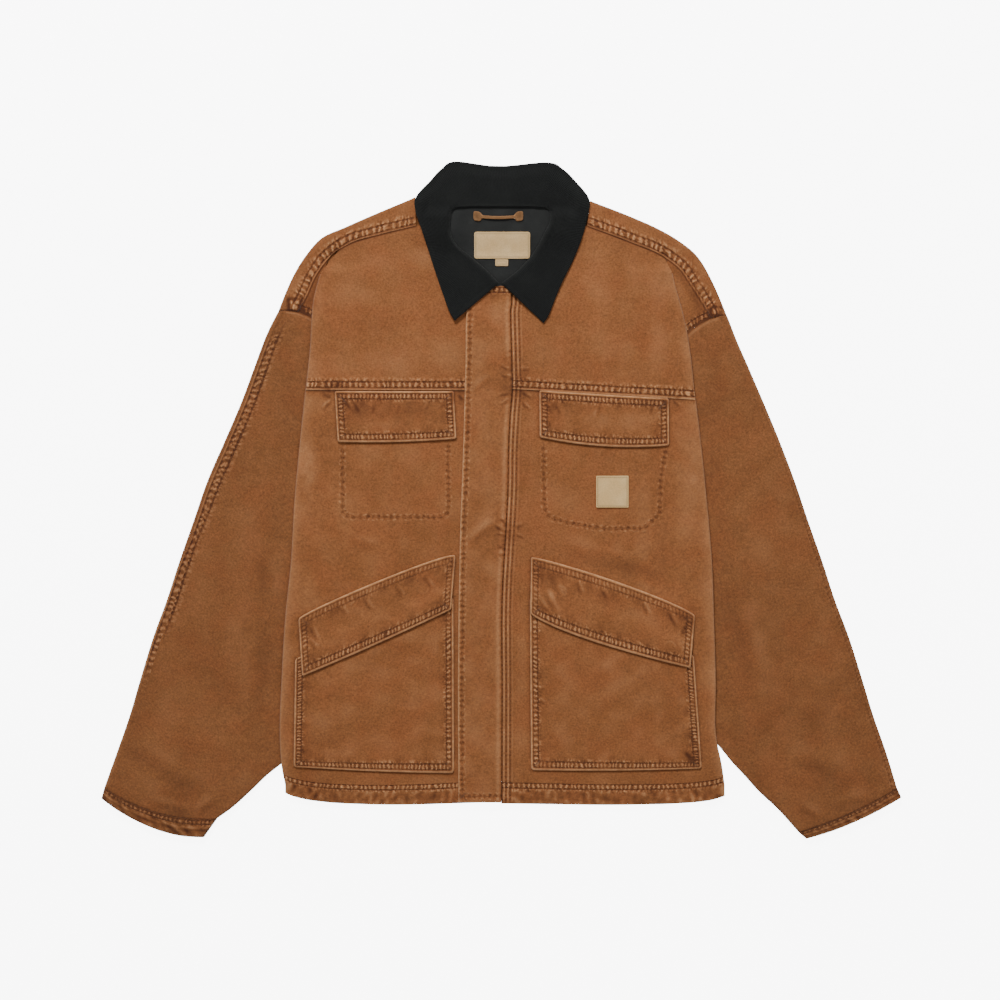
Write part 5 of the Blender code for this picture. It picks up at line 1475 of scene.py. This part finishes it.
def patch(name, rests_on, quad, ply, step, laid, turnings, sag, stitched, seed, rise=FLAT_RISE, corner=2.5,
          relief=None, power=0.45, shares=(1.0, 1.0, 1.0, 1.0), over=()):
    """A piece laid on the fronts, with turned edges and stitched bands along the edges that are named.

    shares is how strongly each of those bands shows, and over the edges of what is sewn on top of it, for the
    painted shadow beside them.
    """
    wide, tall = quad_size(quad)
    u, v = np.meshgrid(spread(wide, step) * wide, spread(tall, step) * tall)
    edge = np.minimum(np.minimum(u, wide - u), np.minimum(v, tall - v))
    ru, rv = rounded(u, v, wide, tall, corner)
    places = laid_place(quad, sag, rise, ru / wide, rv / tall)
    x, y = places[..., 0], places[..., 1]
    low = ground(x, y, laid) + LAID
    # Distances in from each edge, and along them round the piece.
    ends = {"top": (v, u), "outer": (wide - u, wide + v), "bottom": (tall - v, 2 * wide + tall - u),
            "inner": (u, 2 * wide + 2 * tall - v)}
    dist, run = (np.stack([ends[k][part] for k in stitched]) for part in (0, 1))
    which = np.argmin(dist, axis=0)
    near, along = (np.take_along_axis(values, which[None], 0)[0] for values in (dist, run))
    seams = {}
    pulls, rubs = band(near, along, EDGE_BAND, seed, seams, np.array(shares)[which], 4.7, power)
    creases, rubbed_and_shaded = marks(x, y)
    height = 0.16 * swells(x, y, 32, seed + 7) * ramp(edge, 2, 14) + 0.12 * swells(x, y, 90, seed + 8)
    height = height + pulls + 0.22 * hill(near, 1.3, 1.8) + creases
    # Painted shadow beside the edges of what lies on it, and painted shade and highlight from the creases and
    # darker patches.
    wear_and_shade = 0.13 * swells(x, y, 40, seed + 9) + rubs + rubbed_and_shaded - 0.5 * painted_edge_shadow(x, y, over)
    wear_and_shade = wear_and_shade - 0.34 * hill(near, 5, 12) * ramp(wobble(along, 31, seed + 4), -0.6, 1.1)
    wear_and_shade = wear_and_shade + (0.95 + 0.2 * wobble(u + 2 * v, 23, seed + 3)) * hill(edge, 1.40, 0.5)
    if relief is not None:
        pushed, rubbed_and_shaded = relief(x, y)
        height, wear_and_shade = height + pushed, wear_and_shade + rubbed_and_shaded
    top = low + ply + height * ramp(edge, 0, 1.5) - rolled(edge, 1.15)
    panel(name, "canvas_body", rests_on, *walls(x, y, top, low), wear_and_shade, weave_at(u, v),
          (wide + turnings[0], tall + turnings[1]), seams=seams)


def snaps(side):
    """Two press studs under a hip flap, pushing its cloth up."""

    def relief(x, y):
        height, wear_and_shade = np.zeros(np.shape(x)), np.zeros(np.shape(x))
        for sx, sy in SNAPS[side]:
            r = np.hypot(x - sx, y - sy)
            ring = hill(r, 1.3, SNAP_RADIUS)
            height += 0.45 * ramp(r, SNAP_RADIUS + 3, 0) + 0.25 * ring
            wear_and_shade += 0.30 * ring - 0.18 * ramp(r, SNAP_RADIUS + 5, SNAP_RADIUS) * ramp(r, 2, SNAP_RADIUS)
        return height, wear_and_shade

    return relief


def placket():
    up_high, up_low = PLACKET_ENDS
    up = mix(up_high, up_low, spread(up_high - up_low, 1.6, (0, 0.4, 1.0)))[:, None]
    s = spread(56, 1.25)[None, :]
    free, sewn_edge = FREE(up), SEWN(up) - TOUCHING
    x = mix(free, sewn_edge, s)
    y = up + x * 0
    left, right = s * (sewn_edge - free), (1 - s) * (sewn_edge - free)
    bottom = y - up_low
    low = ground(np.minimum(x, -RIGHT_FRONT_INNER), y, []) + LAID
    seams = {}
    height = dotted(left - PLACKET_ROW, up + 400 + left * 0, 180, seams, pitch=6.9)
    strong = hill(y, 22, 145) + 0.8 * hill(y, 24, -38) + 0.2
    drag = streaks(y + 0.25 * right, 8.5, 181) * hill(right, 5 + 2 * wobble(y, 30, 182)) * strong
    creases, rubbed_and_shaded = marks(x, y)
    height = height + 0.26 * drag + 0.22 * swells(x, y, 45, 183) + 0.10 * swells(x, y, 18, 184) + creases
    # The creases and darker patches bring painted shade and highlight into the colour.
    wear_and_shade = 0.06 + 0.7 * drag + 0.10 * swells(x, y, 40, 185) + rubbed_and_shaded + 0.7 * hill(bottom, 1.3)
    height = height + dotted(bottom - 7.5, x + 60, 186, seams, pitch=6)
    wear_and_shade = wear_and_shade + 0.72 * hill(left, 1.4, 0.3) - 0.25 * hill(right, 1.0) + 0.30 * hill(right, 2.4, 4.0)
    pulls, rubs = band(up_high - y, x + 60, (2.0, 7.5), 188, seams, ramp(y, 228, 234))
    edge = np.minimum(np.minimum(left, right + 0.7), np.minimum(bottom, up_high - y))
    top = low + PLACKET_PLY + (height + pulls) * ramp(edge, 0, 1.5) - rolled(edge, 1.2)
    panel("placket", "canvas_body", ["front_right"], *walls(x, y, top, low), wear_and_shade + rubs, weave_at(x, y),
          seams=seams)


# ---------------------------------------------------------------- collar and neck


def collar():
    first, last = COLLAR_BACK_ROWS
    keyed = [(k,) + row for k, row in enumerate(COLLAR)]
    along = np.linspace(0, len(COLLAR) - 1, 261)
    x0, y0, x1, y1 = (Reading(keyed, column)(along)[:, None] for column in (1, 2, 3, 4))
    s = spread(62, 1.5)[None, :]
    x, y = mix(x0, x1, s), mix(y0, y1, s)
    at_back = (ramp(along, first - 0.5, first + 1.5) * ramp(along, last + 0.5, last - 1.5))[:, None]
    placket_rise = (PLACKET_PLY + LAID) * ramp(x, -74, -44) * ramp(x, 44, 16) * ramp(y, 285, 252)
    over_front = front_height(x, y) + placket_rise + COLLAR_CLEAR
    on_front = np.maximum(ramp(y, 342, 326), ramp(np.abs(x), 82, 92))
    low = mix(COLLAR_OVER_BACK, over_front, on_front)
    low = low - COLLAR_CURL * (1 - at_back) * (1 - ramp(s, 0, 0.12)) * ramp(y, 262, 300)
    low = mix(low, UNDER_COLLAR_TOP + SEAM, at_back * ramp(s, 0.66, 1))
    size = np.hypot(x1 - x0, y1 - y0)
    stand, leaf = s * size, (1 - s) * size
    tips = np.cumsum(np.concatenate([[0], np.hypot(np.diff(x.mean(1)), np.diff(y.mean(1)))]))[:, None]
    row = np.minimum(leaf, np.minimum(tips, tips[-1] - tips))
    edge = np.minimum(stand, row)
    height = 0.5 * swells(x, y, 55, 200) * ramp(edge, 1, 12) + 0.35 * hill(stand, 14) * (1 - at_back)
    height = height - 0.25 * hill(row, 1.0, 6)
    wear_and_shade = 0.22 * hill(edge, 1.2) + 0.5 * hill(stand, 2.5) + 0.12 * swells(x, y, 24, 203)
    top = low + CORDUROY + height * ramp(edge, 0, 2) - rolled(edge, 1.4) - 0.8 * ramp(stand, 6, 0) * (1 - at_back)
    panel("collar", "corduroy", ["front_yoke_right", "front_yoke_left", "under_collar"],
          *walls(x, y, top, low), wear_and_shade, weave_at(tips + s * 0, stand))


def under_collar():
    x = np.linspace(UNDER_COLLAR[0][0], UNDER_COLLAR[-1][0], 81)[None, :]
    t = spread(60, 4, (0, 0.6))[:, None]
    y = mix(Reading(UNDER_COLLAR, 1)(x), Reading(UNDER_COLLAR, 2)(x), t)
    x = x + t * 0
    panel("under_collar", "corduroy", ["floor"], *walls(x, y, x * 0 + UNDER_COLLAR_TOP, x * 0), None,
          weave_at(x, y))


def lining_top(x, y):
    return neck_lift(x, y) + CANVAS + LAID + LINING_PLY


def neck_lining():
    up = np.linspace(NECK_LINING[0][0], NECK_LINING[-1][0], 61)[:, None]
    x = Reading(NECK_LINING, 1)(up) * np.linspace(-1, 1, 85)[None, :]
    y = up + x * 0
    relief = 0.35 * swells(x, y, 30, 210) + 0.2 * swells(x, y, 14, 211)
    top = lining_top(x, y)
    panel("neck_lining", "lining", ["back"], *walls(x, y, top + relief * 0.5, top - LINING_PLY),
          0.4 * swells(x, y, 26, 212), weave_at(x, y))


def label(name, corners, base, material, corner=1.0, declared=True):
    """A woven label laid on what is under it, with its edges turned. Too small a one isn't declared a sheet."""
    (left, top), (right, low) = corners
    wide, tall = right - left, top - low
    u, v = np.meshgrid(spread(wide, 1.0, (0, 0.3, 0.7)) * wide, spread(tall, 1.0, (0, 0.3, 0.7)) * tall)
    edge = np.minimum(np.minimum(u, wide - u), np.minimum(v, tall - v))
    ru, rv = rounded(u, v, wide, tall, corner)
    x, y = left + ru, top - rv
    under = base(x, y)
    border = hill(edge, 0.7, 2.0)
    high = under + LABEL_PLY - rolled(edge, 0.5) - 0.12 * border + 0.12 * swells(x, y, 14, 220)
    made = (*walls(x, y, high, under), -0.9 * border, weave_at(u, v))
    if declared:
        panel(name, "label", [], *made, (wide, tall), material)
    else:
        thing = shell(name, *made[:2], material, *made[2:])
        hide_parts(name)


def hanger_loop():
    left, right = LOOP_SPAN
    end_wide, end_tall = LOOP_END
    x = mix(left, right, spread(58, 1.0, (0, 0.3)))[:, None]
    near_end = np.minimum(x - left, right - x)
    blob = np.clip(1 - ((near_end - end_wide / 2) / (end_wide / 2)) ** 4, 0, 1) ** 0.25 * end_tall / 2 * 0.85
    half = np.maximum(blob, LOOP_WIDTH / 2 * 0.7 * ramp(near_end, 0, 2.5))
    half = np.maximum(half, 0.3)
    s = spread(10, 0.8, (0, 0.6))[None, :] * 2 - 1
    y = LOOP_UP + s * half - 2.2 * np.sin(math.pi * (x - left) / (right - left))
    x = x + y * 0
    low = lining_top(x, y) + SEAM + 0.9 * ramp(near_end, end_wide, 22)
    edge = (1 - np.abs(s)) * half
    wear_and_shade = 0.9 * hill(edge, 0.7) - 0.95 * hill(near_end, 2.2, 4.5) * hill(s * half, 3.0)
    panel("hanger_loop", "loop", ["neck_lining"], *walls(x, y, low + LOOP_PLY - rolled(edge, 0.7), low), wear_and_shade,
          weave_at(x, y))


# ---------------------------------------------------------------- stitching

# Each thread's material, and the slot that it belongs to.
THREADS = {
    "stitching_body": (BODY_THREAD, "canvas_body"), "stitching_pockets": (BODY_THREAD, "canvas_body"),
    "stitching_sleeves": (SLEEVE_THREAD, "canvas_sleeve"), "stitching_labels": (LABEL_THREAD, "label"),
}


class Sewing:
    """Stitches laid along lines on a piece, joined into one object for each thread."""

    def __init__(self):
        self.points, self.faces, self.trees = {}, {}, {}

    def tree(self, piece):
        if piece not in self.trees:
            mesh = MADE[piece].data
            points = np.zeros(len(mesh.vertices) * 3, np.float32)
            mesh.vertices.foreach_get("co", points)
            mesh.calc_loop_triangles()
            faces = np.zeros(len(mesh.loop_triangles) * 3, np.int32)
            mesh.loop_triangles.foreach_get("vertices", faces)
            self.trees[piece] = BVHTree.FromPolygons(
                (points.reshape(-1, 3) / MM).tolist(), faces.reshape(-1, 3).tolist())
        return self.trees[piece]

    def row(self, thread, piece, line, pitch=STITCH, radius=THREAD):
        """One row of stitches along a line of places, on top of a piece: bent threads of four sides."""
        tree, path = self.tree(piece), Path(line)
        points, faces = self.points.setdefault(thread, []), self.faces.setdefault(thread, [])
        count = max(int(path.length / pitch), 1)
        for k in range(count):
            middle = (k + 0.5) * path.length / count
            spots = path.at(middle + np.array([-0.5, -0.2, 0.2, 0.5]) * pitch * STITCH_SHOWN)
            hits = [tree.ray_cast(Vector((x, y, ABOVE)), Vector((0, 0, -1)))[0] for x, y in spots]
            if None in hits or max(hit.z for hit in hits) - min(hit.z for hit in hits) > STITCH_STEEPEST:
                continue
            run = spots[-1] - spots[0]
            side = np.array([-run[1], run[0]]) / max(np.linalg.norm(run), 1e-6)
            first = len(points)
            for (x, y), hit, lift in zip(spots, hits, (-0.16, 0.14, 0.14, -0.16)):
                for across, rise in ((-1, 0), (0, 1), (1, 0), (0, -1)):
                    points.append((x + side[0] * across * radius, y + side[1] * across * radius,
                                   hit.z + lift + rise * radius * 0.9))
            for a in (first, first + 4, first + 8):
                faces += [[a + n, a + (n + 1) % 4, a + 4 + (n + 1) % 4, a + 4 + n] for n in range(4)]
            faces += [[first + n for n in (3, 2, 1, 0)], [first + n for n in (12, 13, 14, 15)]]

    def finish(self):
        for thread, points in self.points.items():
            material, slot = THREADS[thread]
            mesh_piece(thread, np.array(points), self.faces[thread], material, smooth=80)


def offset_line(line, by):
    """A line moved to its left by a distance."""
    line = np.array(line, float)
    run = np.gradient(line, axis=0)
    run /= np.linalg.norm(run, axis=1)[:, None]
    return line + np.column_stack([-run[:, 1], run[:, 0]]) * by


def sew_front(sewing, side, label_of, flip):
    """Rows along a front's seams and hem, round its chest pocket, and on what is laid on it."""
    start = 46 if side == RIGHT else SEWN(127) + 14
    for off in CHEST_BAND:
        line = [(start, CHEST_SEAM[side][0] + off), (FOLD[side](125) - 4, CHEST_SEAM[side][1] + off)]
        sewing.row("stitching_body", f"front_yoke_{label_of}", signed(line, side))
    centre, fold, _ = hem_level(side, 0)
    fold_out = FOLD[side](-335)
    outs = np.linspace(49 if side == RIGHT else 20, 242, 60)
    bow = HEM[side](outs) - mix(HEM[side](12), HEM[side](fold_out), (outs - 12) / (fold_out - 12))
    for off in HEM_BAND:
        ups = mix(centre, fold, (outs - 10) / 236) - off + bow
        sewing.row("stitching_body", f"hem_front_{label_of}", signed(np.column_stack([outs, ups]), side))
    seam = line_through(signed(SHOULDER_SEAM[side], side), 60)
    for off in SHOULDER_BAND:
        sewing.row("stitching_body", f"yoke_{label_of}", offset_line(seam, off * flip)[:-3])
    sewing.row("stitching_pockets", f"front_{label_of}", cornered(CHEST_POCKET[side]), POCKET_STITCH)
    for name, table, sag, rise, edges in (
            ("hip_flap", HIP_FLAP, HIP_FLAP_SAG[side], HIP_FLAP_RISE[side], (*AROUND, "top")),
            ("chest_flap", CHEST_FLAP, CHEST_FLAP_SAG[side], FLAT_RISE, (*AROUND, "top")),
            ("hip_pocket", HIP_POCKET, HIP_POCKET_SAG, FLAT_RISE, AROUND)):
        for line in quad_lines(signed(table[side], side), sag, EDGE_BAND, edges, rise):
            sewing.row("stitching_pockets", f"{name}_{label_of}", line)


def sew_sleeve(sewing, side, label_of):
    """Rows down a sleeve's outer seam and round its cuff."""
    if side == RIGHT:
        shares, rows = np.linspace(0.03, 0.68, 90), FELLED_BAND
        shift = mix(5.2, 2.3, ramp(shares, 0.42, 0.50))
    else:
        shares, rows, shift = np.linspace(0.2, 0.98, 90), ARM_ROWS, np.zeros(90)
    for off in rows:
        line = np.array([sleeve_path(side, t).at(off + more) for t, more in zip(shares, shift)])
        half = "front" if off == FELLED_BAND[1] else "back"
        sewing.row("stitching_sleeves", f"sleeve_{half}_{label_of}", line)
    for off in CUFF_BAND:
        path = cuff_path(side, off / CUFF_LONG)
        line = path.at(np.linspace(6, path.length - 8, 60))
        sewing.row("stitching_sleeves", f"cuff_{label_of}", line)


def sew():
    sewing = Sewing()
    for side, label_of, flip in SIDES:
        sew_front(sewing, side, label_of, flip)
        sew_sleeve(sewing, side, label_of)
    ups = np.linspace(236, -340, 90)
    sewing.row("stitching_body", "placket", np.column_stack([FREE(ups) + PLACKET_ROW, ups]))
    sewing.row("stitching_body", "placket", np.column_stack([np.linspace(-44, 4, 12), np.full(12, -343.5)]))
    for off in RIDGE_ROWS:
        for piece, high, low in (
                ("front_yoke_left", 222, 131), ("front_left", 126, -326), ("hem_front_left", -330, -350)):
            ups = np.linspace(high, low, 60)
            sewing.row("stitching_body", piece, np.column_stack([SEWN(ups) + off, ups]))
    for line in quad_lines(CHEST_LABEL, (0.0, 0.5), (1.6,), (*AROUND, "top")):
        sewing.row("stitching_labels", "chest_label", line, LABEL_STITCH, LABEL_THREAD_RADIUS)
    sewing.finish()


# ---------------------------------------------------------------- floor, light and camera

# In metres. The floor reaches so far that its rim doesn't show in low views, and lies just under the cloth.
FLOOR_REACH = 20
FLOOR_DROP = 0.0003
FLOOR_GLOW = 7.5
SKY = 0.32
LIGHTS = (("key", (-0.47, 2.36, 1.96), 0.68, 122.0), ("fill", (0.9, -0.8, 2.5), 2.0, 23.0))
CAMERA_AT = (-0.0005, -0.0001, 2.607)
LENS = 80.7
SENSOR = 36.0


def lay_floor():
    mesh = bpy.data.meshes.new("floor")
    corners = [(x * FLOOR_REACH, y * FLOOR_REACH, -FLOOR_DROP) for x, y in ((-1, -1), (1, -1), (1, 1), (-1, 1))]
    mesh.from_pydata(corners, [], [(0, 1, 2, 3)])
    floor = bpy.data.objects.new("floor", mesh)
    paint = bpy.data.materials.new("floor")
    paint.use_nodes = True
    shader = paint.node_tree.nodes["Principled BSDF"]
    shader.inputs["Base Color"].default_value = (0.93, 0.93, 0.93, 1)
    shader.inputs["Roughness"].default_value = 0.9
    shader.inputs["Specular IOR Level"].default_value = 0.1
    shader.inputs["Emission Color"].default_value = (1, 1, 1, 1)
    shader.inputs["Emission Strength"].default_value = FLOOR_GLOW
    mesh.materials.append(paint)
    bpy.context.scene.collection.objects.link(floor)
    # Its glow would light the cut edges of the cloth from below.
    floor.visible_diffuse = floor.visible_glossy = False


def studio():
    lay_floor()
    world = bpy.data.worlds.new("studio")
    bpy.context.scene.world = world
    world.use_nodes = True
    world.node_tree.nodes["Background"].inputs["Color"].default_value = (1, 1, 1, 1)
    world.node_tree.nodes["Background"].inputs["Strength"].default_value = SKY
    for name, place, size, power in LIGHTS:
        light = bpy.data.lights.new(name, "AREA")
        light.shape, light.size, light.energy = "SQUARE", size, power
        lamp = bpy.data.objects.new(name, light)
        lamp.location = place
        lamp.rotation_euler = (-Vector(place)).to_track_quat("-Z", "Y").to_euler()
        bpy.context.scene.collection.objects.link(lamp)
    lens = bpy.data.cameras.new("camera")
    lens.sensor_width, lens.lens = SENSOR, LENS
    lens.clip_start, lens.clip_end = 0.05, FLOOR_REACH
    camera = bpy.data.objects.new("camera", lens)
    camera.location = CAMERA_AT
    bpy.context.scene.collection.objects.link(camera)
    bpy.context.scene.camera = camera


# ---------------------------------------------------------------- the jacket


def pockets():
    """Hip pockets, their flaps and the chest flaps."""
    laid = []
    flap_edges = ("inner", "outer", "top", "bottom")
    for side, label_of, _ in SIDES:
        pocket, hip, chest = (signed(t[side], side) for t in (HIP_POCKET, HIP_FLAP, CHEST_FLAP))
        front, under = [f"front_{label_of}"], [f"hip_pocket_{label_of}"]
        patch(f"hip_pocket_{label_of}", front, pocket, POCKET_PLY, 1.6, laid, POCKET_TURNINGS, HIP_POCKET_SAG,
              ("inner", "outer", "bottom"), 300 + side, corner=4.0, power=0.5, over=LAID_EDGES[side][1:2])
        laid.append((pocket, POCKET_PLY + LAID))
        patch(f"hip_flap_{label_of}", under, hip, FLAP_PLY, 1.4, laid, FLAP_TURNINGS, HIP_FLAP_SAG[side],
              flap_edges, 320 + side, HIP_FLAP_RISE[side], 2.0, snaps(side), shares=(0.7, 0.7, 0.5, 1.0))
        patch(f"chest_flap_{label_of}", front, chest, FLAP_PLY, 1.4, laid, FLAP_TURNINGS, CHEST_FLAP_SAG[side],
              flap_edges, 340 + side)


def jacket():
    for side, label_of, _ in SIDES:
        for make in (sleeve, cuff, shoulder_strip, lower_front, top_front, front_hem):
            make(side, label_of)
    back()
    back_hem()
    placket()
    pockets()
    neck_lining()
    label("neck_label", NECK_LABEL, lambda x, y: lining_top(x, y) + SEAM, LABEL_CLOTH, 3.0)
    label("size_tab", SIZE_TAB, lambda x, y: lining_top(x, y) + SEAM, LABEL_CLOTH, declared=False)
    label("chest_label", (CHEST_LABEL[0], CHEST_LABEL[2]), lambda x, y: ground(x, y, []) + LAID, PATCH_CLOTH)
    hanger_loop()
    under_collar()
    collar()


studio()
jacket()
sew()
